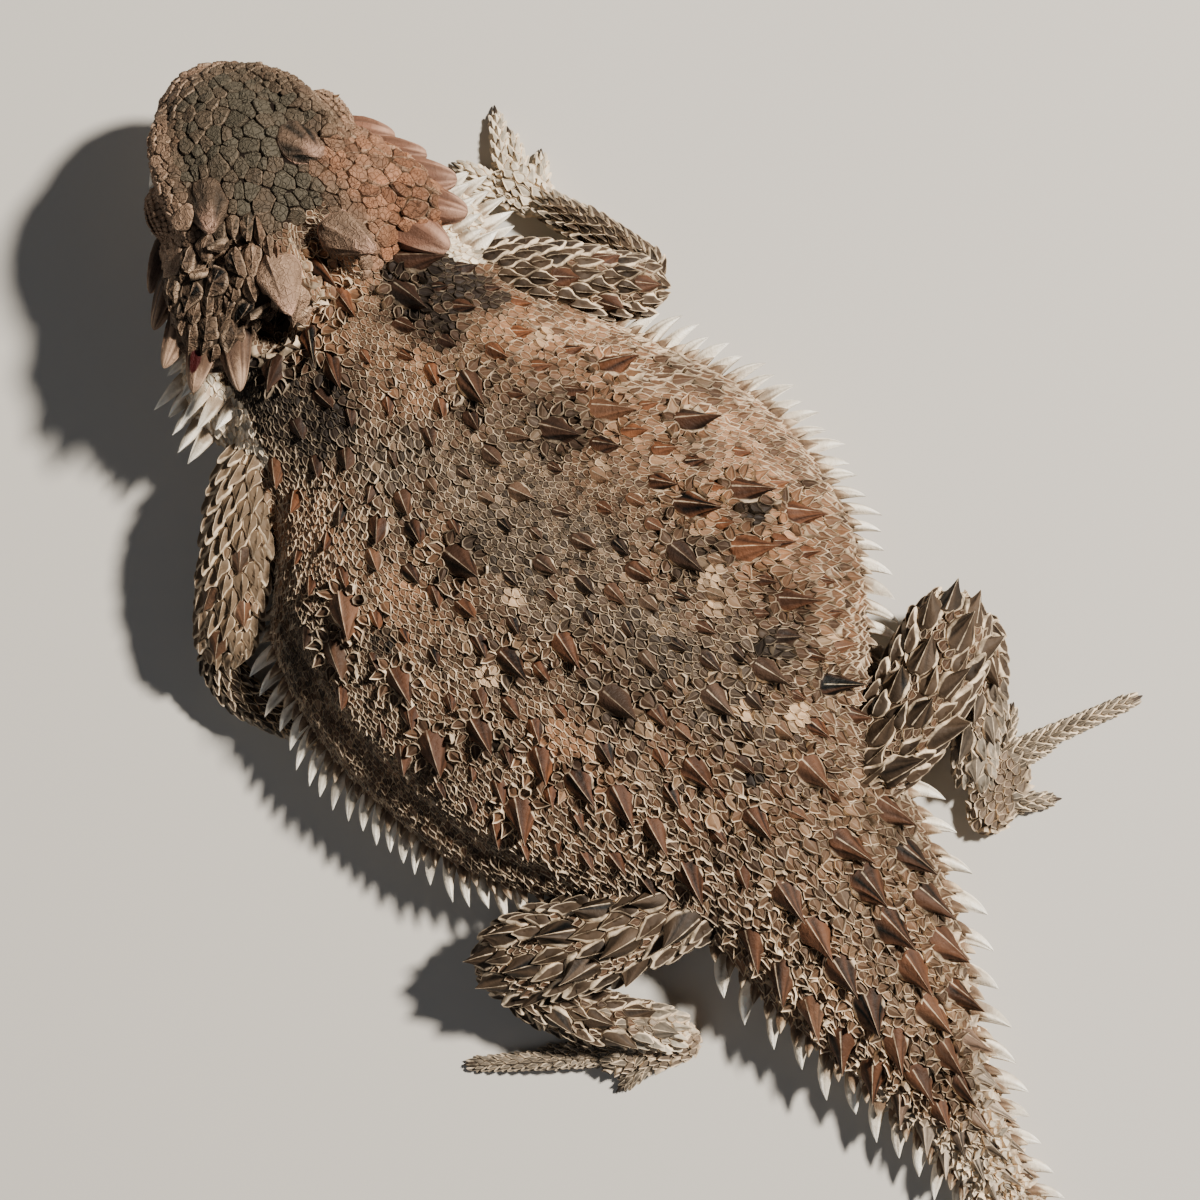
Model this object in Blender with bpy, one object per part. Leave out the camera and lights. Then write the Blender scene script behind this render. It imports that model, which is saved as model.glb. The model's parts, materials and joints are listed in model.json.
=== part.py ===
"""A short-horned lizard at life size, resting on its belly with its legs folded along its sides.

The script works in millimetres and scales the finished meshes to metres. The head points along -Y, the
animal's left is +X and the floor is at Z = 0. Each part of the body is a loft or a limb, and neighbours
are cut back from each other so that a thin gap stays between their faces. Horns and thorns are then
fused onto the part that they grow from, except where one would touch another part.
"""

import math
import random

import bmesh
import bpy
from mathutils import Matrix, Vector
from mathutils.bvhtree import BVHTree

MM = 0.001
GAP = 0.3
BOX_CENTRE = Vector((4.15, 9.65, 0.0))
UP = Vector((0, 0, 1))

# Trunk stations from the nape to the tail's tip: place along Y, middle X, half width, underside,
# height of the widest line, top of the back.
TRUNK = (
    (-40.0, -1.6, 9.0, 6.0, 11.0, 16.0),
    (-36.0, -0.4, 12.2, 3.8, 9.0, 16.6),
    (-31.0, 0.5, 15.0, 1.2, 7.4, 16.6),
    (-26.0, 0.5, 16.4, -0.6, 6.6, 16.9),
    (-22.0, 1.6, 18.4, -1.0, 6.2, 17.3),
    (-17.0, 3.2, 21.6, -1.3, 6.0, 17.8),
    (-8.0, 2.8, 24.7, -1.4, 5.8, 18.2),
    (0.0, 2.1, 25.4, -1.4, 5.8, 18.2),
    (8.0, 2.1, 24.2, -1.2, 5.8, 17.6),
    (14.0, 2.1, 21.4, -1.0, 5.8, 16.6),
    (20.0, 2.1, 16.8, -0.6, 6.0, 15.2),
    (26.0, 2.3, 12.9, 0.4, 6.0, 13.8),
    (31.0, 2.6, 11.4, 0.8, 5.6, 12.4),
    (34.0, 3.1, 10.9, 0.7, 5.2, 11.5),
    (38.0, 3.9, 10.2, 0.4, 4.8, 10.4),
    (44.0, 5.1, 8.6, 0.0, 4.0, 8.8),
    (48.0, 6.1, 7.1, -0.2, 3.5, 7.7),
    (52.0, 7.2, 5.7, -0.3, 3.0, 6.7),
    (58.0, 8.6, 4.1, -0.4, 2.5, 5.4),
    (68.0, 10.9, 2.4, -0.3, 1.7, 3.5),
    (79.0, 12.8, 0.7, 0.0, 0.7, 1.3),
)
BACK_SQUARENESS = 2.15
BELLY_SQUARENESS = 3.0
TRUNK_SIDES = 28
TAIL_SIDES = 16

NECK_START, NECK_END = -39.5, -29.0
TORSO_END = 28.0
TAIL_SPLIT = 50.0
TAIL_TIP = 79.0

# The folds of skin at the sides of the neck: point, half width, half height.
NECK_FOLDS = {
    1: (((8.0, -41.0, 9.0), 2.6, 2.8), ((11.8, -37.8, 8.4), 3.4, 3.2), ((12.4, -31.6, 7.6), 3.0, 3.0)),
    -1: (((-8.2, -39.8, 9.0), 2.6, 2.8), ((-12.8, -35.8, 8.4), 3.5, 3.2), ((-12.8, -29.8, 7.6), 3.0, 3.0)),
}

# Head stations from the snout to the nape in the head's own frame: place along Y, half width,
# height of the widest line, top of the crown, underside of the jaw.
SKULL = (
    (-22.8, 1.4, 11.6, 12.9, 10.2),
    (-22.2, 3.0, 11.4, 14.4, 9.2),
    (-20.6, 4.9, 11.1, 16.8, 8.2),
    (-17.6, 6.9, 10.8, 19.0, 7.4),
    (-13.8, 8.9, 10.6, 20.3, 6.8),
    (-10.5, 10.7, 10.6, 20.8, 6.6),
    (-7.5, 12.0, 11.0, 20.9, 6.6),
    (-4.5, 12.2, 11.8, 20.7, 7.2),
    (-2.0, 10.6, 12.6, 20.2, 8.2),
    (0.0, 8.2, 13.2, 19.3, 9.4),
    (1.2, 6.4, 13.6, 18.2, 10.4),
)
SKULL_CUTS = (-22.8, -22.4, -21.6, -20.4, -18.6, -16.4, -14, -11.5, -9, -6.5, -4, -1.5, 1.2)
CROWN_SQUARENESS = 2.7
JAW_SQUARENESS = 2.4
SKULL_SIDES = 32
HEAD_AT = Vector((-0.8, -37.1, 0.0))
HEAD_TURN = -11.0
HEAD_ROLL = -5.5
ROLL_CENTRE = Vector((0.0, 0.0, 9.0))
HEAD = (
    Matrix.Translation(HEAD_AT)
    @ Matrix.Rotation(math.radians(HEAD_TURN), 4, "Z")
    @ Matrix.Translation(ROLL_CENTRE)
    @ Matrix.Rotation(math.radians(HEAD_ROLL), 4, "Y")
    @ Matrix.Translation(-ROLL_CENTRE)
)
# Ridges and lobes of the left side in the head's frame: point, half width, half height.
BROW = (
    ((2.6, -20.6, 14.4), 1.2, 1.1),
    ((5.0, -18.2, 16.3), 1.6, 1.4),
    ((6.6, -14.2, 17.8), 1.8, 1.7),
    ((7.0, -8.6, 18.5), 1.8, 1.8),
)
TEMPLE = (
    ((4.6, -9.6, 17.0), 4.0, 3.2),
    ((8.6, -4.6, 15.9), 4.2, 3.1),
    ((11.2, 1.0, 15.0), 2.9, 2.1),
)
LOWER_LIP = (
    ((3.6, -20.6, 9.3), 0.9, 0.8),
    ((8.3, -12.8, 8.7), 1.4, 1.0),
    ((10.3, -7.4, 8.7), 1.4, 1.0),
    ((10.0, -3.4, 9.3), 1.1, 0.9),
)
# Horns of the left side in the head's frame: root, tip, width, thickness.
HORNS = (
    ((2.8, -2.6, 17.8), (4.2, 1.2, 21.2), 4.0, 3.4),
    ((8.6, -1.6, 15.2), (11.4, 4.2, 16.9), 3.7, 2.9),
    ((10.6, -2.4, 14.7), (14.9, 2.0, 15.9), 3.7, 2.7),
    ((11.0, -4.6, 14.2), (15.9, -1.3, 14.9), 3.5, 2.6),
    ((10.8, -7.6, 13.2), (14.8, -4.8, 13.5), 3.1, 2.4),
    ((10.0, -10.4, 12.2), (13.3, -7.9, 12.3), 2.8, 2.2),
    ((5.2, -12.2, 18.2), (7.4, -8.0, 21.9), 4.6, 3.4),
)
CHEEK_THORNS = 6
CHEEK_LINE = ((-18.0, 6.9, 8.4), (-12.0, 10.2, 8.0), (-8.0, 12.0, 8.2), (-3.0, 12.0, 9.4))
EYE_RADIUS = 2.2
EYE_AT = Vector((7.8, -12.6, 15.0))
LID_RING, LID_THICKNESS = 1.95, 0.62
MOUTH_HEIGHT = (10.5, 9.8)
MOUTH_REACH = 118
MOUTH_CENTRE = Vector((0, -9.0, 0))
LIP_GROOVE = 0.3
NOSTRIL_AT = Vector((2.2, -21.9, 13.5))
NOSTRIL_RADIUS = 0.55

# Limb joints: point, half width, half height. The last point is the end of the rounded limb.
UPPER_ARMS = {
    "left": (
        ((11.5, -31.0, 8.8), 3.2, 3.2),
        ((16.5, -28.8, 9.2), 3.4, 3.4),
        ((21.6, -25.0, 8.4), 3.4, 3.3),
        ((28.8, -19.6, 5.4), 2.8, 2.8),
    ),
    "right": (
        ((-10.0, -30.6, 8.6), 3.2, 3.2),
        ((-14.0, -27.0, 9.0), 3.4, 3.4),
        ((-17.8, -23.0, 8.2), 3.4, 3.3),
        ((-23.4, -16.8, 5.4), 2.8, 2.8),
    ),
}
FOREARMS = {
    "left": (
        ((28.6, -21.6, 3.8), 2.2, 2.2),
        ((29.9, -16.4, 2.7), 2.0, 2.1),
        ((28.0, -9.8, 1.9), 1.5, 1.5),
    ),
    "right": (
        ((-24.2, -17.6, 3.9), 2.2, 2.2),
        ((-23.0, -24.0, 3.0), 2.0, 2.1),
        ((-21.2, -30.6, 1.9), 1.6, 1.5),
    ),
}
THIGHS = {
    "left": (
        ((8.5, 26.0, 7.2), 4.3, 4.2),
        ((19.0, 22.8, 7.4), 4.5, 4.4),
        ((26.0, 19.6, 7.0), 4.2, 4.1),
        ((31.0, 16.8, 5.8), 3.2, 3.2),
    ),
    "right": (
        ((-4.0, 27.2, 7.4), 4.3, 4.2),
        ((-13.0, 26.6, 7.8), 4.5, 4.4),
        ((-19.4, 24.6, 7.4), 4.2, 4.1),
        ((-24.0, 22.2, 6.2), 3.2, 3.2),
    ),
}
SHINS = {
    "left": (
        ((30.0, 19.4, 4.4), 2.6, 2.8),
        ((27.0, 26.6, 3.8), 2.7, 2.8),
        ((21.4, 34.4, 2.5), 1.8, 1.8),
    ),
    "right": (
        ((-24.0, 24.4, 4.6), 2.6, 2.8),
        ((-19.4, 29.8, 4.0), 2.7, 2.8),
        ((-13.0, 36.0, 2.5), 1.8, 1.8),
    ),
}
# Each paw: the joints of its palm or sole, then the root and the tip of each digit from first to fifth.
HANDS = {
    "left": (
        (((27.8, -10.6), 1.6), ((26.4, -7.6), 2.4), ((25.4, -5.0), 2.2)),
        (
            ((24.2, -7.2), (20.8, -6.2)),
            ((24.2, -6.2), (21.6, -1.8)),
            ((25.0, -5.8), (23.8, 1.2)),
            ((26.2, -5.8), (26.4, 1.0)),
            ((27.4, -6.8), (28.4, -2.8)),
        ),
    ),
    "right": (
        (((-21.8, -29.6), 1.6), ((-20.9, -32.4), 2.6), ((-20.4, -35.2), 2.4)),
        (
            ((-18.9, -33.8), (-16.6, -37.8)),
            ((-19.4, -34.6), (-17.8, -39.0)),
            ((-20.8, -34.9), (-24.4, -40.1)),
            ((-22.0, -34.0), (-23.9, -37.9)),
            ((-22.4, -31.8), (-24.8, -34.2)),
        ),
    ),
}
FEET = {
    "left": (
        (((21.0, 35.6), 1.7), ((24.9, 33.6), 2.1), ((29.2, 30.4), 1.9)),
        (
            ((25.8, 31.9), (28.2, 28.9)),
            ((26.9, 31.4), (30.6, 27.6)),
            ((28.0, 31.0), (33.4, 26.2)),
            ((28.6, 31.0), (38.8, 22.6)),
            ((26.0, 34.0), (30.3, 34.2)),
        ),
    ),
    "right": (
        (((-10.8, 39.6), 1.9), ((-14.4, 38.2), 2.7), ((-18.2, 36.0), 2.6)),
        (
            ((-16.4, 35.4), (-19.4, 32.2)),
            ((-17.4, 35.6), (-21.4, 33.2)),
            ((-17.8, 37.2), (-22.4, 38.6)),
            ((-17.6, 36.2), (-30.5, 41.0)),
            ((-14.8, 39.8), (-18.5, 42.8)),
        ),
    ),
}
PALM_HEIGHT = 1.3
TOE_RADII = (0.9, 0.78, 0.58)
CLAW_ROOT = 1.6

# Thorn sizes: length above the skin, width across, thickness.
FRINGE_THORN = (3.2, 2.4, 1.5)
TAIL_SIDE_THORN = (3.4, 2.8, 1.8)
NECK_THORN = (2.6, 2.6, 1.6)
BACK_THORN = (2.9, 3.0, 2.0)
TAIL_THORN = (3.0, 2.8, 2.0)
LEG_THORN = (2.3, 2.6, 1.8)
ROOT_DEPTH = 1.3
THORN_VARIETY = 0.16
THORN_SEED = 7
FRINGE_SPAN = {1: (-18.6, 15.2), -1: (-17.4, 22.0)}
FRINGE_STEP = 1.55
FRINGE_SWEEP = 36
TAIL_SWEEP = 46
TAIL_STEPS = (3.5, 2.2)
# Large thorns of the back as X and Y, set where the real animal has them.
BACK_THORNS = (
    (2.6, -34.2), (2.6, -31.8), (-6.2, -32.0), (-8.6, -33.4), (-4.7, -21.7), (-11.8, -11.9), (-16.7, -6.1),
    (-16.0, 1.7), (-11.5, -0.6), (-7.9, 2.0), (-12.2, 11.5), (-6.3, 14.5), (6.6, -11.0), (5.1, 7.3),
    (17.0, -14.8), (15.6, 1.1), (5.0, 0.8), (17.7, -7.0), (9.4, -1.6), (21.6, -13.1), (21.2, -0.6),
    (13.5, 6.6), (10.8, 14.0), (10.4, 18.1), (4.2, 16.7), (10.9, 23.1), (-3.2, 24.0), (3.4, 23.6),
    (-9.8, 19.6), (18.4, 9.6), (-18.6, 6.4), (-1.0, -9.6),
)
TAIL_ROWS = (0.3, 0.72)
SEAM_ROOM = (1.7, 1.1)
# Leg thorns: share of the way along the limb, then degrees round it from its rear side.
THIGH_THORNS = ((0.34, 75), (0.5, 30), (0.58, 100), (0.72, 60), (0.84, 15), (0.9, 95))
SHIN_THORNS = ((0.3, 60), (0.5, 110), (0.62, 40), (0.8, 80))
ARM_THORNS = ((0.5, 95), (0.68, 50), (0.72, 125), (0.88, 85))
FOLD_THORNS = ((0.28, 35), (0.46, 10), (0.62, 30), (0.78, 5))

SKIN_COLOUR = (0.42, 0.31, 0.22)
LIMB_COLOUR = (0.38, 0.3, 0.22)
CROWN_COLOUR = (0.36, 0.29, 0.21)
EYE_COLOUR = (0.05, 0.03, 0.02)
SKIN_ROUGHNESS, EYE_ROUGHNESS = 0.8, 0.15
SMOOTH_ANGLE = math.radians(40)


def along(stations, at):
    """The values at one place in a row of stations, joined by smooth curves."""
    if at <= stations[0][0]:
        return stations[0][1:]
    if at >= stations[-1][0]:
        return stations[-1][1:]
    i = next(k for k in range(len(stations) - 1) if at <= stations[k + 1][0])
    before, start = stations[max(i - 1, 0)], stations[i]
    end, after = stations[i + 1], stations[min(i + 2, len(stations) - 1)]
    span = end[0] - start[0]
    u = (at - start[0]) / span
    blend = u * u * (3 - 2 * u)
    values = []
    for k in range(1, len(start)):
        slope_in = (end[k] - before[k]) / (end[0] - before[0])
        slope_out = (after[k] - start[k]) / (after[0] - start[0])
        curve = span * (u * (1 - u) ** 2 * slope_in - u * u * (1 - u) * slope_out)
        values.append((1 - blend) * start[k] + blend * end[k] + curve)
    return values


def evenly(start, end, count):
    return [start + (end - start) * k / (count - 1) for k in range(count)]


def full_turn(sides):
    return [2 * math.pi * (k + 0.5) / sides for k in range(sides)]


def rounded(angle, squareness):
    """The point of a unit superellipse at an angle."""
    c, s = math.cos(angle), math.sin(angle)
    power = 2 / squareness
    return math.copysign(abs(c) ** power, c), math.copysign(abs(s) ** power, s)


def new_object(name, bm):
    mesh = bpy.data.meshes.new(name)
    bm.to_mesh(mesh)
    bm.free()
    return bpy.data.objects.new(name, mesh)


def loft(name, rings):
    """A closed body through rings of points, with flat ends."""
    bm = bmesh.new()
    rows = [[bm.verts.new(point) for point in ring] for ring in rings]
    count = len(rows[0])
    for near, far in zip(rows, rows[1:]):
        for k in range(count):
            following = (k + 1) % count
            bm.faces.new((near[k], near[following], far[following], far[k]))
    bm.faces.new(rows[0])
    bm.faces.new(rows[-1])
    bmesh.ops.recalc_face_normals(bm, faces=bm.faces)
    return new_object(name, bm)


def trunk_point(y, angle):
    """A point of the trunk's skin. Angle 0 is the left flank's widest line, a quarter turn the back."""
    middle, half_width, belly, edge, back = along(TRUNK, y)
    above = math.sin(angle) >= 0
    c, s = rounded(angle, BACK_SQUARENESS if above else BELLY_SQUARENESS)
    height = (back - edge) if above else (edge - belly)
    return Vector((middle + half_width * c, y, max(edge + height * s, 0.0)))


def trunk_piece(name, start, end, steps, sides):
    rings = [[trunk_point(y, a) for a in full_turn(sides)] for y in evenly(start, end, steps)]
    return loft(name, rings)


def back_height(x, y):
    """The height of the trunk's upper skin above a point of the floor."""
    middle, half_width, _, edge, back = along(TRUNK, y)
    share = min(abs(x - middle) / half_width, 0.98)
    return edge + (back - edge) * (1 - share**BACK_SQUARENESS) ** (1 / BACK_SQUARENESS)


def limb_line(joints):
    """A limb's joints as stations by their distance along it, and its whole length."""
    line, distance = [], 0.0
    for k, (point, across, upright) in enumerate(joints):
        if k:
            distance += (Vector(point) - Vector(joints[k - 1][0])).length
        line.append((distance, *point, across, upright))
    return line, distance


def limb_section(line, place):
    """The middle of a limb at a place along it, with the ways ahead, to its side and up, and its sizes."""
    x, y, z, across, upright = along(line, place)
    ahead = Vector(along(line, place + 0.2)[:3]) - Vector(along(line, place - 0.2)[:3])
    side = ahead.cross(UP).normalized()
    return Vector((x, y, z)), ahead.normalized(), side, side.cross(ahead).normalized(), across, upright


def limb(name, joints, sides, steps):
    """A round-ended limb through joints, each a point with its half width and half height."""
    line, length = limb_line(joints)
    start_round, end_round = joints[0][1], joints[-1][1]
    quarter = [math.radians(a) for a in (20, 50)]
    places = [(start_round * (1 - math.cos(a)), math.sin(a)) for a in quarter]
    places += [(d, 1.0) for d in evenly(start_round, length - end_round, steps)]
    places += [(length - end_round * (1 - math.cos(a)), math.sin(a)) for a in reversed(quarter)]
    rings = []
    for place, scale in places:
        middle, _, side, up, across, upright = limb_section(line, place)
        turns = [rounded(a, 2) for a in full_turn(sides)]
        rings.append([middle + scale * (side * across * c + up * upright * s) for c, s in turns])
    return loft(name, rings)


def thorn(root, tip, flat_side, width, thickness, sides=6):
    """A straight thorn, wider than it is thick, whose flat faces look along flat_side."""
    ahead = tip - root
    bm = bmesh.new()
    bmesh.ops.create_cone(
        bm, cap_ends=True, segments=sides, radius1=0.5, radius2=0.0, depth=ahead.length
    )
    bmesh.ops.translate(bm, verts=bm.verts, vec=(0, 0, ahead.length / 2))
    bmesh.ops.scale(bm, verts=bm.verts, vec=(width, thickness, 1))
    bmesh.ops.transform(bm, matrix=standing(root, ahead, flat_side), verts=bm.verts)
    return new_object("thorn", bm)


def standing(root, ahead, flat_side):
    """The frame of a thorn: Z along it and Y across its flat faces."""
    z_axis = ahead.normalized()
    x_axis = flat_side.cross(z_axis).normalized()
    turn = Matrix((x_axis, z_axis.cross(x_axis), z_axis)).transposed().to_4x4()
    return Matrix.Translation(root) @ turn


def horn(root, tip, width, thickness, sides=7):
    """A stout horn that keeps its width for half its length and then tapers."""
    frame = standing(root, tip - root, UP)
    length = (tip - root).length
    rings = []
    for share, size in ((0.0, 1.0), (0.45, 0.84), (0.75, 0.5), (1.0, 0.06)):
        turns = [rounded(a, 2) for a in full_turn(sides)]
        points = [(width / 2 * size * c, thickness / 2 * size * s, share * length) for c, s in turns]
        rings.append([frame @ Vector(point) for point in points])
    return loft("horn", rings)


def ball(at, radius, segments, rings):
    bm = bmesh.new()
    bmesh.ops.create_uvsphere(bm, u_segments=segments, v_segments=rings, radius=radius)
    bmesh.ops.translate(bm, verts=bm.verts, vec=at)
    return new_object("ball", bm)


def applied(obj, operation, others):
    """Joins obj with other closed bodies, or cuts them from it, and removes the others."""
    pieces = bpy.data.collections.new("pieces")
    bpy.context.scene.collection.children.link(pieces)
    for other in others:
        pieces.objects.link(other)
    bpy.context.scene.collection.objects.link(obj)
    modifier = obj.modifiers.new("bool", "BOOLEAN")
    modifier.operation = operation
    modifier.operand_type = "COLLECTION"
    modifier.collection = pieces
    modifier.solver = "MANIFOLD"
    graph = bpy.context.evaluated_depsgraph_get()
    mesh = bpy.data.meshes.new_from_object(obj.evaluated_get(graph))
    obj.modifiers.clear()
    obj.data = mesh
    bpy.context.scene.collection.objects.unlink(obj)
    for other in list(pieces.objects):
        bpy.data.objects.remove(other)
    bpy.data.collections.remove(pieces)
    return largest_body(obj)


def joined(obj, others):
    return applied(obj, "UNION", others) if others else obj


def cut(obj, others):
    return applied(obj, "DIFFERENCE", others)


def largest_body(obj):
    """Keeps only the closed surface with the most faces."""
    bm = bmesh.new()
    bm.from_mesh(obj.data)
    left, groups = set(bm.faces), []
    while left:
        group, waiting = set(), [left.pop()]
        while waiting:
            face = waiting.pop()
            group.add(face)
            for edge in face.edges:
                for neighbour in edge.link_faces:
                    if neighbour in left:
                        left.remove(neighbour)
                        waiting.append(neighbour)
        groups.append(group)
    keep = max(groups, key=len)
    bmesh.ops.delete(bm, geom=[f for f in bm.faces if f not in keep], context="FACES")
    bm.to_mesh(obj.data)
    bm.free()
    return obj


def swollen(obj):
    """A copy of a body whose faces stand out by the gap, to cut a neighbour back from it."""
    bm = bmesh.new()
    bm.from_mesh(obj.data)
    bm.normal_update()
    moves = [(v, v.normal * GAP * min(v.calc_shell_factor(), 2.0)) for v in bm.verts]
    for vert, move in moves:
        vert.co += move
    return new_object("swollen", bm)


def floor_block():
    bm = bmesh.new()
    bmesh.ops.create_cube(bm, size=1)
    bmesh.ops.scale(bm, verts=bm.verts, vec=(400, 400, 20))
    bmesh.ops.translate(bm, verts=bm.verts, vec=(0, 0, -10))
    return new_object("floor", bm)


def surface_tree(obj):
    mesh = obj.data
    return BVHTree.FromPolygons([v.co for v in mesh.vertices], [p.vertices for p in mesh.polygons])


def mirrored(point, side):
    return Vector((point[0] * side, point[1], point[2]))


def mirrored_joints(joints, side):
    return [(mirrored(point, side), across, upright) for point, across, upright in joints]


def skull_point(y, angle):
    half_width, widest, top, bottom = along(SKULL, y)
    above = math.sin(angle) >= 0
    c, s = rounded(angle, CROWN_SQUARENESS if above else JAW_SQUARENESS)
    height = (top - widest) if above else (widest - bottom)
    return Vector((half_width * c, y, widest + height * s))


def lid_ring(side):
    """The ring of the eyelids, facing out from the head."""
    bm = bmesh.new()
    bmesh.ops.create_circle(bm, segments=6, radius=LID_THICKNESS)
    bmesh.ops.rotate(bm, verts=bm.verts, matrix=Matrix.Rotation(math.pi / 2, 3, "X"))
    bmesh.ops.translate(bm, verts=bm.verts, vec=(LID_RING, 0, 0))
    bmesh.ops.spin(
        bm, geom=bm.verts[:] + bm.edges[:], axis=(0, 0, 1), angle=2 * math.pi, steps=14, use_merge=True
    )
    bmesh.ops.recalc_face_normals(bm, faces=bm.faces)
    out = Vector((side * 0.93, -0.24, 0.1)).normalized()
    turn = out.to_track_quat("Z", "Y").to_matrix().to_4x4()
    place = Matrix.Translation(mirrored(EYE_AT, side) + out * 0.9)
    bmesh.ops.transform(bm, matrix=place @ turn, verts=bm.verts)
    return new_object("lids", bm)


def mouth_groove(skull):
    """The line between the lips: a thin tube that follows the jaw from one corner to the other."""
    tree = surface_tree(skull)
    curve = bpy.data.curves.new("mouth", "CURVE")
    curve.dimensions = "3D"
    spline = curve.splines.new("POLY")
    turns = [math.radians(a) for a in evenly(-MOUTH_REACH, MOUTH_REACH, 23)]
    spline.points.add(len(turns) - 1)
    for place, turn in zip(spline.points, turns):
        out = Vector((math.sin(turn), -math.cos(turn), 0))
        sag = (turn / turns[-1]) ** 2
        height = MOUTH_HEIGHT[0] * (1 - sag) + MOUTH_HEIGHT[1] * sag
        start = MOUTH_CENTRE + Vector((0, 0, height))
        place.co = (*tree.ray_cast(start + out * 40, -out)[0], 1)
    curve.bevel_depth = LIP_GROOVE
    curve.bevel_resolution = 0
    curve.use_fill_caps = True
    tube = bpy.data.objects.new("mouth", curve)
    bpy.context.scene.collection.objects.link(tube)
    graph = bpy.context.evaluated_depsgraph_get()
    mesh = bpy.data.meshes.new_from_object(tube.evaluated_get(graph))
    bpy.data.objects.remove(tube)
    bm = bmesh.new()
    bm.from_mesh(mesh)
    bmesh.ops.remove_doubles(bm, verts=bm.verts, dist=0.001)
    bmesh.ops.recalc_face_normals(bm, faces=bm.faces)
    return new_object("mouth", bm)


def head_and_eyes():
    turns = full_turn(SKULL_SIDES)
    skull = loft("head", [[skull_point(y, a) for a in turns] for y in SKULL_CUTS])
    cutters = [mouth_groove(skull)]
    growths, eyes = [], []
    for side in (1, -1):
        growths.append(limb("brow", mirrored_joints(BROW, side), 8, 5))
        growths.append(limb("temple", mirrored_joints(TEMPLE, side), 10, 4))
        growths.append(limb("lip", mirrored_joints(LOWER_LIP, side), 6, 5))
        for root, tip, width, thickness in HORNS:
            growths.append(horn(mirrored(root, side), mirrored(tip, side), width, thickness))
        for y in evenly(CHEEK_LINE[0][0], CHEEK_LINE[-1][0], CHEEK_THORNS):
            x, z = along(CHEEK_LINE, y)
            root = Vector((side * (x - 1.6), y, z))
            tip = Vector((side * (x + 1.2), y + 1.3, z - 0.8))
            growths.append(thorn(root, tip, UP, 2.6, 1.6))
        growths.append(lid_ring(side))
        cutters.append(ball(mirrored(EYE_AT, side), EYE_RADIUS + GAP, 14, 9))
        cutters.append(ball(mirrored(NOSTRIL_AT, side), NOSTRIL_RADIUS, 6, 5))
        eye = ball(mirrored(EYE_AT, side), EYE_RADIUS, 14, 9)
        eye.name = "eye_left" if side > 0 else "eye_right"
        eyes.append(eye)
    head = cut(joined(skull, growths), cutters)
    for obj in (head, *eyes):
        obj.data.transform(HEAD)
    return [head, *eyes]


def paw(name, bones, digits):
    """The pieces of a palm with five toes, each a thin limb that ends in a claw."""
    pieces = [limb(name, [((x, y, PALM_HEIGHT), width, 1.4) for (x, y), width in bones], 8, 5)]
    for root, tip in digits:
        root, tip = Vector((*root, 1.0)), Vector((*tip, 0.25))
        ahead = (tip - root).normalized()
        end = tip - ahead * 0.9
        knuckle = root.lerp(end, 0.5) + UP * 0.35
        joints = [(point, r, r) for point, r in zip((root, knuckle, end), TOE_RADII)]
        pieces.append(limb("toe", joints, 6, 3))
        pieces.append(thorn(tip - ahead * CLAW_ROOT, tip, UP, 0.8, 0.7, 5))
    return pieces


def body_parts():
    """All parts without their body thorns, each cut back from the parts it meets."""
    head, eye_left, eye_right = head_and_eyes()
    half = GAP / 2
    torso = trunk_piece("torso", NECK_END + half, TORSO_END - half, 20, TRUNK_SIDES)
    tail_base = trunk_piece("tail_base", TORSO_END + half, TAIL_SPLIT - half, 8, TAIL_SIDES)
    tail_tip = trunk_piece("tail_tip", TAIL_SPLIT + half, TAIL_TIP, 9, TAIL_SIDES)
    neck = trunk_piece("neck", NECK_START, NECK_END - half, 7, TRUNK_SIDES)
    neck = joined(neck, [limb("fold", fold, 10, 5) for fold in NECK_FOLDS.values()])
    neck = cut(neck, [swollen(head), swollen(torso)])
    parts = [head, eye_left, eye_right, neck, torso, tail_base, tail_tip]
    for side in ("left", "right"):
        upper = limb(f"upper_arm_{side}", UPPER_ARMS[side], 14, 7)
        upper = cut(upper, [swollen(torso), swollen(neck)])
        fore = cut(limb(f"forearm_{side}", FOREARMS[side], 12, 6), [swollen(upper)])
        palm, *toes = paw(f"hand_{side}", *HANDS[side])
        pocket = [swollen(fore), *(swollen(piece) for piece in (palm, *toes))]
        hand = cut(joined(palm, toes), [swollen(fore), swollen(upper)])
        cut(torso, pocket)
        thigh = limb(f"thigh_{side}", THIGHS[side], 14, 8)
        thigh = cut(thigh, [swollen(torso), swollen(tail_base)])
        shin = limb(f"shin_{side}", SHINS[side], 12, 6)
        shin = cut(shin, [swollen(thigh), swollen(torso), swollen(tail_base)])
        sole, *toes = paw(f"foot_{side}", *FEET[side])
        foot = cut(joined(sole, toes), [swollen(shin), swollen(thigh), swollen(tail_base)])
        parts += [upper, fore, hand, thigh, shin, foot]
    for obj in parts:
        cut(obj, [floor_block()])
    return {obj.name: obj for obj in parts}


def varied(size, chance):
    return [value * (1 + chance.uniform(-THORN_VARIETY, THORN_VARIETY)) for value in size]


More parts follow.
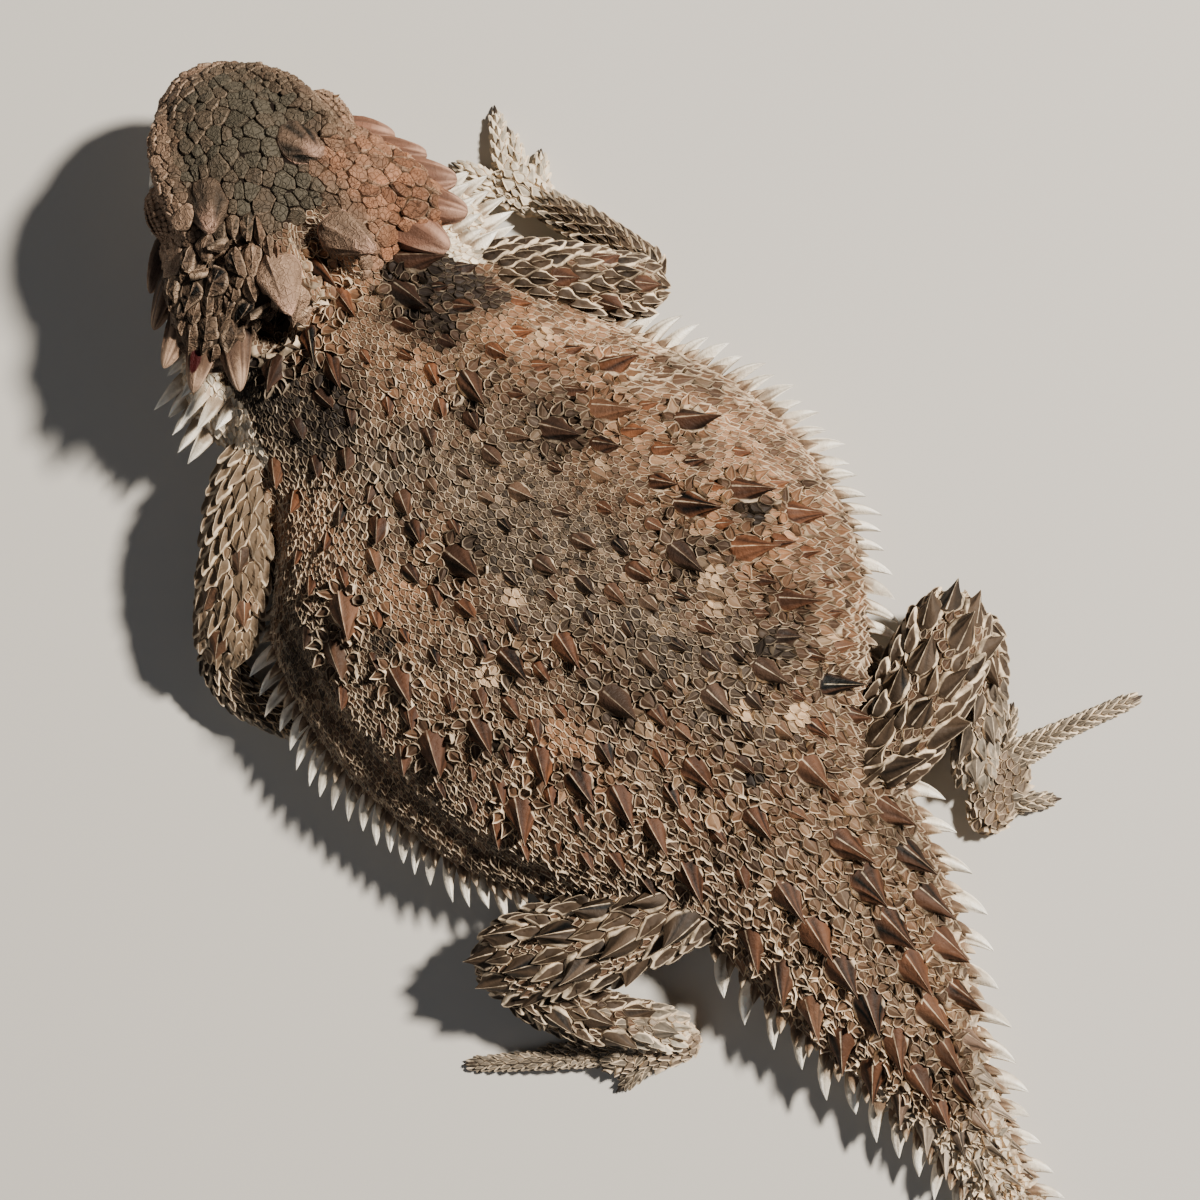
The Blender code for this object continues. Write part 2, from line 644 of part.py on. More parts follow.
def fringe_thorns(start, end, side, steps, sweep, size, chance):
    """Thorns in a row along the trunk's widest line, swept back towards the tail."""
    thorns, y = [], start
    while y < end:
        middle, half_width, _, edge, _ = along(TRUNK, y)
        ahead_middle, ahead_half_width = along(TRUNK, y + 0.5)[:2]
        drift = (ahead_middle - middle + side * (ahead_half_width - half_width)) / 0.5
        backward = Vector((drift, 1, 0)).normalized()
        outward = Vector((backward.y, -backward.x, 0)) * side
        length, width, thickness = varied(size, chance)
        angle = math.radians(sweep)
        skin = Vector((middle + side * half_width, y, max(edge, 1.3)))
        pointing = outward * math.cos(angle) + backward * math.sin(angle)
        taper = min(1.0, 0.6 + half_width / 14)
        tip = skin + (pointing * length + UP * 0.3) * taper
        root = skin - outward * ROOT_DEPTH * taper - backward * 0.3
        thorns.append((root, tip, UP, width * taper, thickness * taper))
        share = (y - start) / (end - start)
        y += steps[0] * (1 - share) + steps[1] * share
    return thorns


def back_thorn(x, y, size, chance):
    """A thorn of the back, leaning towards the tail."""
    length, width, thickness = varied(size, chance)
    skin = Vector((x, y, back_height(x, y)))
    slope_x = back_height(x + 0.3, y) - back_height(x - 0.3, y)
    slope_y = back_height(x, y + 0.3) - back_height(x, y - 0.3)
    normal = Vector((-slope_x, -slope_y, 0.6)).normalized()
    pointing = (normal * 0.62 + Vector((0, 0.8, 0))).normalized()
    return (skin - normal * ROOT_DEPTH * 0.6, skin + pointing * length, normal, width, thickness)


def tail_thorns(start, end, chance):
    """Rows of thorns over the tail, which shrink towards its tip."""
    thorns = []
    for side in (1, -1):
        for row in TAIL_ROWS:
            y = start + 1.6 * row
            while y < end:
                middle, half_width = along(TRUNK, y)[:2]
                taper = min(1.0, 0.35 + half_width / 12)
                size = [value * taper for value in TAIL_THORN]
                thorns.append(back_thorn(middle + side * row * half_width, y, size, chance))
                y += 4.4 * taper
    return thorns


def limb_thorns(joints, places, size, mirror, chance):
    """Thorns on a limb that lean towards its end."""
    line, length = limb_line(joints)
    thorns = []
    for share, degrees in places:
        middle, ahead, side, up, across, upright = limb_section(line, share * length)
        angle = math.radians(180 - degrees if mirror else degrees)
        normal = (side * math.cos(angle) + up * math.sin(angle)).normalized()
        skin = middle + side * across * math.cos(angle) + up * upright * math.sin(angle)
        long, width, thickness = varied(size, chance)
        pointing = (normal * 0.7 + ahead * 0.7).normalized()
        root = skin - normal * ROOT_DEPTH * 0.7
        thorns.append((root, skin + pointing * long, normal, width, thickness))
    return thorns


def body_thorns():
    """Every thorn of the body under the name of the part that it grows from."""
    chance = random.Random(THORN_SEED)
    owned = {name: [] for name in ("neck", "torso", "tail_base", "tail_tip")}
    loose = [back_thorn(x, y, BACK_THORN, chance) for x, y in BACK_THORNS]
    loose += tail_thorns(TORSO_END + 2.2, TAIL_TIP - 6, chance)
    for side in (1, -1):
        start, end = FRINGE_SPAN[side]
        steps = (FRINGE_STEP, FRINGE_STEP)
        loose += fringe_thorns(start, end, side, steps, FRINGE_SWEEP, FRINGE_THORN, chance)
        loose += fringe_thorns(
            TORSO_END + 3.2, TAIL_TIP - 4, side, TAIL_STEPS, TAIL_SWEEP, TAIL_SIDE_THORN, chance
        )
        owned["neck"] += limb_thorns(NECK_FOLDS[side], FOLD_THORNS, NECK_THORN, side < 0, chance)
    pieces = (("neck", NECK_END), ("torso", TORSO_END), ("tail_base", TAIL_SPLIT), ("tail_tip", 1000))
    for one in loose:
        y = one[0].y
        near_seam = any(-SEAM_ROOM[0] < y - seam < SEAM_ROOM[1] for _, seam in pieces)
        if not near_seam:
            owned[next(name for name, seam in pieces if y < seam)].append(one)
    for side, mirror in (("left", True), ("right", False)):
        owned[f"thigh_{side}"] = limb_thorns(THIGHS[side], THIGH_THORNS, LEG_THORN, mirror, chance)
        owned[f"shin_{side}"] = limb_thorns(SHINS[side], SHIN_THORNS, LEG_THORN, mirror, chance)
        owned[f"upper_arm_{side}"] = limb_thorns(
            UPPER_ARMS[side], ARM_THORNS, LEG_THORN, not mirror, chance
        )
    return owned


def clear_of(tree, point):
    """Whether a point is outside a body and further from it than the gap."""
    if tree.find_nearest(point)[3] < GAP * 1.6:
        return False
    hit, normal, _, _ = tree.ray_cast(point, UP)
    return hit is None or normal.z < 0


def add_thorns(parts):
    """Fuses each thorn onto its part, leaving out those that would touch another part."""
    trees = {name: surface_tree(obj) for name, obj in parts.items()}
    for name, thorns in body_thorns().items():
        pieces = []
        for root, tip, flat_side, width, thickness in thorns:
            rim = (flat_side.cross(tip - root)).normalized() * width / 2
            tests = [root.lerp(tip, share) for share in (0.0, 0.25, 0.5, 0.75, 1.0)]
            tests += [root + rim, root - rim]
            others = [tree for other, tree in trees.items() if other != name]
            above_floor = min(point.z for point in tests) > thickness / 2
            if above_floor and all(clear_of(tree, point) for tree in others for point in tests):
                pieces.append(thorn(root, tip, flat_side, width, thickness))
        joined(parts[name], pieces)
        trees[name] = surface_tree(parts[name])


def coloured(obj):
    """Gives a part its own material and smooth shading."""
    if obj.name.startswith("eye"):
        colour, roughness = EYE_COLOUR, EYE_ROUGHNESS
    elif obj.name == "head":
        colour, roughness = CROWN_COLOUR, SKIN_ROUGHNESS
    elif obj.name.startswith(("neck", "torso", "tail")):
        colour, roughness = SKIN_COLOUR, SKIN_ROUGHNESS
    else:
        colour, roughness = LIMB_COLOUR, SKIN_ROUGHNESS
    material = bpy.data.materials.new(obj.name)
    material.use_nodes = True
    shader = material.node_tree.nodes["Principled BSDF"]
    shader.inputs["Base Color"].default_value = (*colour, 1)
    shader.inputs["Roughness"].default_value = roughness
    obj.data.materials.clear()
    obj.data.materials.append(material)
    obj.data.shade_smooth()
    obj.data.set_sharp_from_angle(angle=SMOOTH_ANGLE)


def main():
    for obj in list(bpy.data.objects):
        bpy.data.objects.remove(obj)
    parts = body_parts()
    add_thorns(parts)
    body = bpy.data.collections.new("horned_lizard")
    bpy.context.scene.collection.children.link(body)
    to_origin = Matrix.Scale(MM, 4) @ Matrix.Translation(-BOX_CENTRE)
    for obj in parts.values():
        obj.data.transform(to_origin)
        coloured(obj)
        body.objects.link(obj)


main()
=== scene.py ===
"""The looks of the short-horned lizard: one skin over the whole body, with its scales, plates, thorns,
fringe, horns, claws and eyes grown on it. The shapes are worked out in millimetres with the head along -Y
and the floor at Z = 0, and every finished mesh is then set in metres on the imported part.
"""

import json
import math

import bmesh
import bpy
import numpy as np
from mathutils import Matrix, Vector
from mathutils.bvhtree import BVHTree
from mathutils.kdtree import KDTree

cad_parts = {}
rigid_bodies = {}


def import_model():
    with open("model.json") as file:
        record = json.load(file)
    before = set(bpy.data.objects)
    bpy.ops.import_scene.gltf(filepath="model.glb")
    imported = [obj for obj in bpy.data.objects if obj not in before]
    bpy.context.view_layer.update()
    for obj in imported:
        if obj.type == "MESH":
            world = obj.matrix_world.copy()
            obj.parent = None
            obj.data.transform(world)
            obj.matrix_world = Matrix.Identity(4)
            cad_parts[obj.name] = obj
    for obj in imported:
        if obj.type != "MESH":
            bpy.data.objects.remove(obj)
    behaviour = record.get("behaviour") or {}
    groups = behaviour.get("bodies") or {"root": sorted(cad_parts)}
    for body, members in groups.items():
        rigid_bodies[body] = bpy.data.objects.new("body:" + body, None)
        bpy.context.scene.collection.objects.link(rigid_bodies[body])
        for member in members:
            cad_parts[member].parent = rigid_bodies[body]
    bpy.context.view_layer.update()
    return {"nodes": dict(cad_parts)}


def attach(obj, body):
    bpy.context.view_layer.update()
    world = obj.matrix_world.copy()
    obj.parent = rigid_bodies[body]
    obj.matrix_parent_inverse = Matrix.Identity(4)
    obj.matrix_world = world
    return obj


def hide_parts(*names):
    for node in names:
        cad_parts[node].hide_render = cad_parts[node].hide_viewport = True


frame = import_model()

MM = 0.001
BOX_CENTRE = Vector((4.15, 9.65, 0.0))
UP = Vector((0, 0, 1))
TO_METRES = Matrix.Scale(MM, 4) @ Matrix.Translation(-BOX_CENTRE)
# The most triangles in one piece, and the angle from which an edge stays sharp.
MOST_TRIANGLES = 185000
SHARP = math.radians(40)
LOWEST = 0.02
# Two distances closer than this count as equal.
TIE = 1e-4

# Trunk stations: place along Y, middle X, half width, underside, widest line's height, back's height.
TRUNK = (
    (-40.0, -1.6, 9.0, 6.0, 11.0, 16.0),
    (-36.0, -0.4, 12.2, 3.8, 9.0, 16.6),
    (-31.0, 0.5, 15.0, 1.2, 7.4, 16.6),
    (-26.0, 0.5, 16.4, -0.6, 6.6, 16.9),
    (-22.0, 1.6, 18.4, -1.0, 6.2, 17.3),
    (-17.0, 3.2, 21.6, -1.3, 6.0, 17.8),
    (-8.0, 2.8, 24.7, -1.4, 5.8, 18.2),
    (0.0, 2.1, 25.4, -1.4, 5.8, 18.2),
    (8.0, 2.1, 24.2, -1.2, 5.8, 17.6),
    (14.0, 2.1, 21.4, -1.0, 5.8, 16.6),
    (20.0, 2.1, 16.8, -0.6, 6.0, 15.2),
    (26.0, 2.3, 12.9, 0.4, 6.0, 13.8),
    (31.0, 2.6, 11.4, 0.8, 5.6, 12.4),
    (34.0, 3.1, 10.9, 0.7, 5.2, 11.5),
    (38.0, 3.9, 10.2, 0.4, 4.8, 10.4),
    (44.0, 5.1, 8.6, 0.0, 4.0, 8.8),
    (48.0, 6.1, 7.1, -0.2, 3.5, 7.7),
    (52.0, 7.2, 5.7, -0.3, 3.0, 6.7),
    (58.0, 8.6, 4.1, -0.4, 2.5, 5.4),
    (68.0, 10.9, 2.4, -0.3, 1.7, 3.5),
    (79.0, 12.8, 0.7, 0.0, 0.7, 1.3),
)
BACK_SQUARENESS, BELLY_SQUARENESS = 2.15, 3.0
TRUNK_REACH = (-39.4, 78.7)
NECK_FOLDS = (
    (((8.0, -41.0, 9.0), 2.6, 2.8), ((11.8, -37.8, 8.4), 3.4, 3.2), ((12.4, -31.6, 7.6), 3.0, 3.0)),
    (((-8.2, -39.8, 9.0), 2.6, 2.8), ((-12.8, -35.8, 8.4), 3.5, 3.2), ((-12.8, -29.8, 7.6), 3.0, 3.0)),
)
# Folds of the flank: side, share of the half width, breadth, depth, first and last place along Y.
FLANK_FOLDS = (
    (1, 0.9, 0.05, 1.0, -21.0, 18.5),
    (1, 0.72, 0.03, 0.5, -26.0, -4.0),
    (-1, 0.88, 0.028, 0.8, -20.0, 19.0),
    (-1, 0.7, 0.03, 0.3, -24.0, -6.0),
)
SKULL_START, SKULL_LENGTH = -22.8, 24.0
SKULL = (
    (-22.8, 1.4, 11.6, 12.9, 10.2),
    (-22.2, 3.0, 11.4, 14.4, 9.2),
    (-20.6, 4.9, 11.1, 16.8, 8.2),
    (-17.6, 6.9, 10.8, 19.0, 7.4),
    (-13.8, 8.9, 10.6, 20.3, 6.8),
    (-10.5, 10.7, 10.6, 20.8, 6.6),
    (-7.5, 12.0, 11.0, 20.9, 6.6),
    (-4.5, 12.2, 11.8, 20.7, 7.2),
    (-2.0, 10.6, 12.6, 20.2, 8.2),
    (0.0, 8.2, 13.2, 19.3, 9.4),
    (1.2, 6.4, 13.6, 18.2, 10.4),
)
CROWN_SQUARENESS, JAW_SQUARENESS = 2.7, 2.4
ROLL_CENTRE = Vector((0.0, 0.0, 9.0))
HEAD = (
    Matrix.Translation(Vector((-0.8, -37.1, 0.0)))
    @ Matrix.Rotation(math.radians(-11), 4, "Z")
    @ Matrix.Translation(ROLL_CENTRE)
    @ Matrix.Rotation(math.radians(-5.5), 4, "Y")
    @ Matrix.Translation(-ROLL_CENTRE)
)
BROW = (
    ((2.6, -20.6, 14.4), 1.2, 1.1),
    ((5.0, -18.2, 16.3), 1.6, 1.4),
    ((6.6, -14.2, 17.8), 1.8, 1.7),
    ((7.0, -8.6, 18.5), 1.8, 1.8),
)
TEMPLE = (
    ((4.6, -9.6, 17.0), 4.0, 3.2),
    ((8.6, -4.6, 15.9), 4.2, 3.1),
    ((11.2, 1.0, 15.0), 2.9, 2.1),
)
LOWER_LIP = (
    ((3.6, -20.6, 9.3), 0.9, 0.8),
    ((8.3, -12.8, 8.7), 1.4, 1.0),
    ((10.3, -7.4, 8.7), 1.4, 1.0),
    ((10.0, -3.4, 9.3), 1.1, 0.9),
)
HORNS = (
    ((2.8, -2.6, 17.8), (4.2, 1.2, 21.2), 4.0, 3.4),
    ((8.6, -1.6, 15.2), (11.4, 4.2, 16.9), 3.7, 2.9),
    ((10.6, -2.4, 14.7), (14.9, 2.0, 15.9), 3.7, 2.7),
    ((11.0, -4.6, 14.2), (15.9, -1.3, 14.9), 3.5, 2.6),
    ((10.8, -7.6, 13.2), (14.8, -4.8, 13.5), 3.1, 2.4),
    ((10.0, -10.4, 12.2), (13.3, -7.9, 12.3), 2.8, 2.2),
    ((5.2, -12.2, 18.2), (7.4, -8.0, 21.9), 4.6, 3.4),
)
CHEEK_LINE = ((-18.0, 6.9, 8.4), (-12.0, 10.2, 8.0), (-8.0, 12.0, 8.2), (-3.0, 12.0, 9.4))
EYE_RADIUS = 2.2
EYE_AT = Vector((7.8, -12.6, 15.0))
EYE_OUT = Vector((0.93, -0.24, 0.1)).normalized()
EYE_OPENING = (1.75, 1.15)
# Folds of the lids: first and last degree round the opening, size of the fold's path, thickness.
LID_FOLDS = ((22, 158, 1.42, 0.42), (200, 340, 1.5, 0.36))
# Rows of scales on the lids: share of the way from the lids' edge outwards, half size.
LID_ROWS = ((0.1, 0.17), (0.33, 0.21), (0.6, 0.25), (0.9, 0.29))
# The nape's hollow between the two middle horns: centre, radius, segments, rings, proportions.
NAPE_NOTCH = ((-0.8, 1.6, 21.4), 1.0, 32, 16, (3.0, 7.6, 4.9))
# Where the temples begin and the lower jaw ends, in the head's frame.
TEMPLE_START, JAW_TOP = -8, 9.2
MOUTH_HEIGHT = (10.5, 9.8)
MOUTH_REACH = 118
MOUTH_CENTRE = Vector((0, -9.0, 0))
NOSTRIL_AT = Vector((2.2, -21.9, 13.5))

# Limb joints: point, half width, half height.
LIMBS = {
    "upper_arm_left": (
        ((11.5, -31.0, 8.8), 3.2, 3.2),
        ((16.5, -28.8, 9.2), 3.4, 3.4),
        ((21.6, -25.0, 8.4), 3.4, 3.3),
        ((28.8, -19.6, 5.4), 2.8, 2.8),
    ),
    "upper_arm_right": (
        ((-10.0, -30.6, 8.6), 3.2, 3.2),
        ((-14.0, -27.0, 9.0), 3.4, 3.4),
        ((-17.8, -23.0, 8.2), 3.4, 3.3),
        ((-23.4, -16.8, 5.4), 2.8, 2.8),
    ),
    "forearm_left": (
        ((28.6, -21.6, 3.8), 2.2, 2.2),
        ((29.9, -16.4, 2.7), 2.0, 2.1),
        ((28.0, -9.8, 1.9), 1.5, 1.5),
    ),
    "forearm_right": (
        ((-24.2, -17.6, 3.9), 2.2, 2.2),
        ((-23.0, -24.0, 3.0), 2.0, 2.1),
        ((-21.2, -30.6, 1.9), 1.6, 1.5),
    ),
    "thigh_left": (
        ((8.5, 26.0, 7.2), 4.3, 4.2),
        ((19.0, 22.8, 7.4), 4.5, 4.4),
        ((26.0, 19.6, 7.0), 4.2, 4.1),
        ((31.0, 16.8, 5.8), 3.2, 3.2),
    ),
    "thigh_right": (
        ((-4.0, 27.2, 7.4), 4.3, 4.2),
        ((-13.0, 26.6, 7.8), 4.5, 4.4),
        ((-19.4, 24.6, 7.4), 4.2, 4.1),
        ((-24.0, 22.2, 6.2), 3.2, 3.2),
    ),
    "shin_left": (
        ((30.0, 19.4, 4.4), 2.6, 2.8),
        ((27.0, 26.6, 3.8), 2.7, 2.8),
        ((21.4, 34.4, 2.5), 1.8, 1.8),
    ),
    "shin_right": (
        ((-24.0, 24.4, 4.6), 2.6, 2.8),
        ((-19.4, 29.8, 4.0), 2.7, 2.8),
        ((-13.0, 36.0, 2.5), 1.8, 1.8),
    ),
}
# Scales of each limb: columns round it, spacing of the rows, height.
LIMB_SCALES = {
    "upper_arm": (13, 1.25, 0.62),
    "forearm": (11, 0.95, 0.45),
    "thigh": (14, 1.3, 0.8),
    "shin": (12, 1.05, 0.6),
}
PAWS = {
    "hand_left": (
        (((27.8, -10.6), 1.6), ((26.4, -7.6), 2.4), ((25.4, -5.0), 2.2)),
        (
            ((24.2, -7.2), (20.8, -6.2)),
            ((24.2, -6.2), (21.6, -1.8)),
            ((25.0, -5.8), (23.8, 1.2)),
            ((26.2, -5.8), (26.4, 1.0)),
            ((27.4, -6.8), (28.4, -2.8)),
        ),
    ),
    "hand_right": (
        (((-21.8, -29.6), 1.6), ((-20.9, -32.4), 2.6), ((-20.4, -35.2), 2.4)),
        (
            ((-18.9, -33.8), (-16.6, -37.8)),
            ((-19.4, -34.6), (-17.8, -39.0)),
            ((-20.8, -34.9), (-24.4, -40.1)),
            ((-22.0, -34.0), (-23.9, -37.9)),
            ((-22.4, -31.8), (-24.8, -34.2)),
        ),
    ),
    "foot_left": (
        (((21.0, 35.6), 1.7), ((24.9, 33.6), 2.1), ((29.2, 30.4), 1.9)),
        (
            ((25.8, 31.9), (28.2, 28.9)),
            ((26.9, 31.4), (30.6, 27.6)),
            ((28.0, 31.0), (33.4, 26.2)),
            ((28.6, 31.0), (38.8, 22.6)),
            ((26.0, 34.0), (30.3, 34.2)),
        ),
    ),
    "foot_right": (
        (((-10.8, 39.6), 1.9), ((-14.4, 38.2), 2.7), ((-18.2, 36.0), 2.6)),
        (
            ((-16.4, 35.4), (-19.4, 32.2)),
            ((-17.4, 35.6), (-21.4, 33.2)),
            ((-17.8, 37.2), (-22.4, 38.6)),
            ((-17.6, 36.2), (-30.5, 41.0)),
            ((-14.8, 39.8), (-18.5, 42.8)),
        ),
    ),
}
PALM_HEIGHT = 1.3
TOE_RADII = (0.9, 0.78, 0.58)

# Half the distance between small scales, by region. A second number is how much it changes across the region,
# and a third is how much it grows towards the hips.
HALF_SPACING = {
    "throat": 0.3,
    "crown": (0.55, -0.24),
    "left_temple": 0.56,
    "temple": 0.46,
    "face": 0.34,
    "neck_fold": 0.28,
    "nape": 0.22,
    "belly": 0.3,
    "back": (0.235, 0.11, 0.13),
    "tail": (0.42, -0.16),
    "paw": 0.34,
    "limb": 0.3,
}
NOSTRIL_ROOM = 0.8
NECK_FOLD_FROM = 11.5
# Below this height the small scales are left out, because the floor hides them.
FLOOR_BAND = 0.9

# How the skin is made: depth under the scales' tops, thinner on the toes, and its grain.
SKIN_DEPTH, TOE_DEPTH = 0.34, 0.14
SKIN_GRAIN = 0.44
FLOOR_ROOM = 0.16

# Horns that grow on the crown: half width, and share of their length on the left and on the right.
CROWN_HORNS = {0: (2.05, 1.0, 0.95), 6: (2.1, 0.85, 0.62)}

# The deep hollow behind the left temple: centre, radius, segments, rings, proportions.
TEMPLE_PIT = ((4.7, -36.9, 17.4), 1.0, 24, 12, (3.0, 2.4, 4.6))
# The groove between the left brow and temple, in the head's frame.
BROW_GROOVE = ((6.4, -6.5, 19.5), 1.0, 24, 12, (3.4, 0.95, 1.8))

# Where the large thorns of the back grow.
NAPE_THORNS = (
    (2.7, -34.2), (3.0, -31.7), (-6.0, -31.6), (-8.6, -33.4), (-2.0, -38.1), (-1.7, -35.6), (6.6, -35.0),
)
BACK_THORNS = (
    (-4.7, -21.7), (-11.8, -11.9), (-16.7, -6.1), (-16.0, 1.7), (-11.5, -0.6), (-7.9, 2.0), (-12.2, 11.5),
    (-6.3, 14.5), (6.6, -11.0), (5.1, 7.3), (17.0, -14.8), (15.6, 1.1), (5.0, 0.8), (17.7, -7.0),
    (9.4, -1.6), (20.2, -12.6), (19.6, -0.6), (13.5, 6.6), (10.8, 14.0), (10.4, 18.1), (4.2, 16.7),
    (10.9, 23.1), (-3.2, 24.0), (3.4, 23.6), (-9.8, 19.6), (18.0, 8.8), (-18.0, 6.4), (-7.4, -13.5),
    (-15.0, -14.4), (12.4, 10.6), (-1.4, 13.2), (-12.6, 5.6),
)
TAIL_ROWS = (0.3, 0.74)
TAIL_START, TAIL_END = 30.2, 74.0
FRINGE_SPAN = {1: (-18.6, 15.2), -1: (-17.4, 22.0)}
FRINGE_STEP = 1.55
# Thorns of the limbs: share of the length and degrees from the front, over the top, to the back.
LEG_THORNS = {
    "thigh": (
        (0.24, 60), (0.3, 105), (0.44, 30), (0.46, 82), (0.5, 130), (0.62, 58), (0.66, 108), (0.78, 28),
        (0.8, 82), (0.84, 134), (0.92, 60), (0.94, 110),
    ),
    "shin": ((0.2, 70), (0.3, 115), (0.42, 40), (0.5, 85), (0.62, 125), (0.7, 58), (0.85, 95)),
    "upper_arm": ((0.5, 95), (0.68, 50), (0.72, 125), (0.88, 85)),
}
# White spines of the neck's folds: side, first and last place, heights, length.
NECK_SPINES = ((1, -42.0, -35.2, (11.0, 9.0, 6.8), 3.2), (-1, -37.0, -30.6, (10.8, 8.8, 6.8), 2.5))

# Markings of the back: X, Y and radius.
# The dark spots on the nape are the neck's own blotches; those by the back's large thorns are partly the back's own
# blotches and partly painted shadow round the thorns.
DARK_SPOTS_AND_SHADOWS = (
    (7.3, -30.3, 4.2), (8.6, -34.0, 2.6), (-8.8, -28.7, 4.0), (-7.8, -33.0, 2.6), (6.3, -11.6, 2.0),
    (-7.4, -13.3, 1.9), (5.0, 7.0, 1.7), (-7.4, 2.0, 1.6), (-3.0, -19.6, 1.2), (-15.2, 3.4, 1.2),
    (15.6, 3.0, 1.5), (0.6, 20.4, 1.4), (-8.0, 13.0, 1.3), (12.6, 9.2, 1.4), (16.8, -10.6, 1.3),
)
PALE_SPOTS = (
    (-7.6, -8.5, 1.0), (-7.3, 6.9, 1.2), (-8.6, 4.6, 0.8), (-5.5, 19.1, 1.3), (4.6, 11.1, 0.8),
    (5.4, -5.1, 0.8), (-2.6, 16.0, 0.8), (-12.4, -20.4, 0.8), (12.0, -2.2, 0.7), (-12.4, 16.6, 0.9),
)
WARM_SPOTS = (
    (-12.2, -7.8, 4.0), (-19.2, -1.2, 6.0), (-12.5, -18.4, 6.0), (-0.4, -28.5, 5.0), (-2.1, -35.6, 5.0),
    (10.9, -11.5, 4.0), (-16.0, 10.0, 5.0), (14.0, -22.0, 4.0), (11.0, 8.0, 3.0), (-11.6, -25.0, 4.0),
)
COOL_SPOTS = ((1.5, -8.6, 7.0), (-0.1, 5.0, 6.0), (-2.7, -15.6, 5.0), (-4.0, 12.0, 5.0), (6.0, -22.0, 4.0))
# Dark spots are stronger on the nape, in front of this place, than behind it.
NAPE_END, NAPE_DARKNESS, BACK_DARKNESS = -25, 1.12, 0.7
# The belly's white: top, how far it fades and strength. The back's spots stay above BACK_FROM.
BELLY_TOP, BELLY_FADE, BELLY_WHITE = 5.4, 1.2, 0.75
BACK_FROM = 5.0
# How warm the limbs are, and the white of the lit hand and of the other paws.
LIMB_WARMTH = 0.4
LIT_HAND_WHITE, PAW_WHITE, NECK_FOLD_WHITE = 0.75, 0.12, 0.9
# A dark red sore on a horn of the left temple: middle, way along the horn, half length, half width.
SORE = ((11.3, -39.8, 16.6), (0.82, 0.57, 0.0), 1.15, 0.45)
SORE_UNDERSIDE = 14.5
# Grooves round each horn.
FLUTES = 7

chance = np.random.default_rng(11)
waves = np.random.default_rng(5)
WAVES = [(waves.normal(size=(7, 3)) / size, waves.uniform(0, 6.3, 7)) for size in (4.0, 1.6, 0.7)]


def ripple(points, which=0):
    """Smooth noise between about -1 and 1 at millimetre points."""
    ways, phases = WAVES[which]
    swings = sum(points[..., k, None] * ways[:, k] for k in range(3))
    return np.sin(swings + phases).sum(axis=-1) / 3.0


def along(stations, at):
    """The values at one place in a row of stations, joined by smooth curves."""
    if at <= stations[0][0]:
        return stations[0][1:]
    if at >= stations[-1][0]:
        return stations[-1][1:]
    i = next(k for k in range(len(stations) - 1) if at <= stations[k + 1][0])
    before, start = stations[max(i - 1, 0)], stations[i]
    end, after = stations[i + 1], stations[min(i + 2, len(stations) - 1)]
    span = end[0] - start[0]
    u = (at - start[0]) / span
    blend = u * u * (3 - 2 * u)
    values = []
    for k in range(1, len(start)):
        slope_in = (end[k] - before[k]) / (end[0] - before[0])
        slope_out = (after[k] - start[k]) / (after[0] - start[0])
        curve = span * (u * (1 - u) ** 2 * slope_in - u * u * (1 - u) * slope_out)
        values.append((1 - blend) * start[k] + blend * end[k] + curve)
    return values


def evenly(start, end, count):
    return [start + (end - start) * k / (count - 1) for k in range(count)]


def full_turn(sides):
    return [2 * math.pi * (k + 0.5) / sides for k in range(sides)]


def rounded(angle, squareness):
    c, s = math.cos(angle), math.sin(angle)
    power = 2 / squareness
    return math.copysign(abs(c) ** power, c), math.copysign(abs(s) ** power, s)


def new_object(name, bm):
    mesh = bpy.data.meshes.new(name)
    bm.to_mesh(mesh)
    bm.free()
    return bpy.data.objects.new(name, mesh)


def loft(name, rings):
    """A closed body through rings of points: the first ring is extruded from one to the next."""
    bm = bmesh.new()
    start = [bm.verts.new(point) for point in rings[0]]
    edges = [bm.edges.new((start[k], start[(k + 1) % len(start)])) for k in range(len(start))]
    bm.faces.new(start)
    for ring in rings[1:]:
        grown = bmesh.ops.extrude_edge_only(bm, edges=edges)["geom"]
        row = [item for item in grown if isinstance(item, bmesh.types.BMVert)]
        edges = [e for e in grown if isinstance(e, bmesh.types.BMEdge) and all(v in row for v in e.verts)]
        for vert, point in zip(row, ring):
            vert.co = point
    bmesh.ops.contextual_create(bm, geom=edges)
    bmesh.ops.recalc_face_normals(bm, faces=bm.faces)
    return new_object(name, bm)


def flank_fold(y, share, side):
    """How far the folds of the flank sink at a place."""
    depth = 0.0
    for fold_side, middle, breadth, deep, start, end in FLANK_FOLDS:
        if fold_side == side and start < y < end:
            fade = min(1.0, (y - start) / 5, (end - y) / 5)
            depth += deep * fade * math.exp(-(((share - middle) / breadth) ** 2))
    return depth


def trunk_point(y, angle):
    middle, half_width, belly, edge, back = along(TRUNK, y)
    above = math.sin(angle) >= 0
    c, s = rounded(angle, BACK_SQUARENESS if above else BELLY_SQUARENESS)
    height = (back - edge) if above else (edge - belly)
    depth = min(SKIN_DEPTH, half_width * 0.3)
    if above:
        depth += flank_fold(y, abs(c), 1 if c > 0 else -1)
    out = Vector((c / half_width, 0, s / height)).normalized()
    return Vector((middle + half_width * c, y, max(edge + height * s, 0.0))) - out * depth


def limb_line(joints):
    line, distance = [], 0.0
    for k, (point, across, upright) in enumerate(joints):
        if k:
            distance += (Vector(point) - Vector(joints[k - 1][0])).length
        line.append((distance, *point, across, upright))
    return line, distance


def limb_section(line, place):
    x, y, z, across, upright = along(line, place)
    ahead = Vector(along(line, place + 0.2)[:3]) - Vector(along(line, place - 0.2)[:3])
    side = ahead.cross(UP).normalized()
    return Vector((x, y, z)), ahead.normalized(), side, side.cross(ahead).normalized(), across, upright


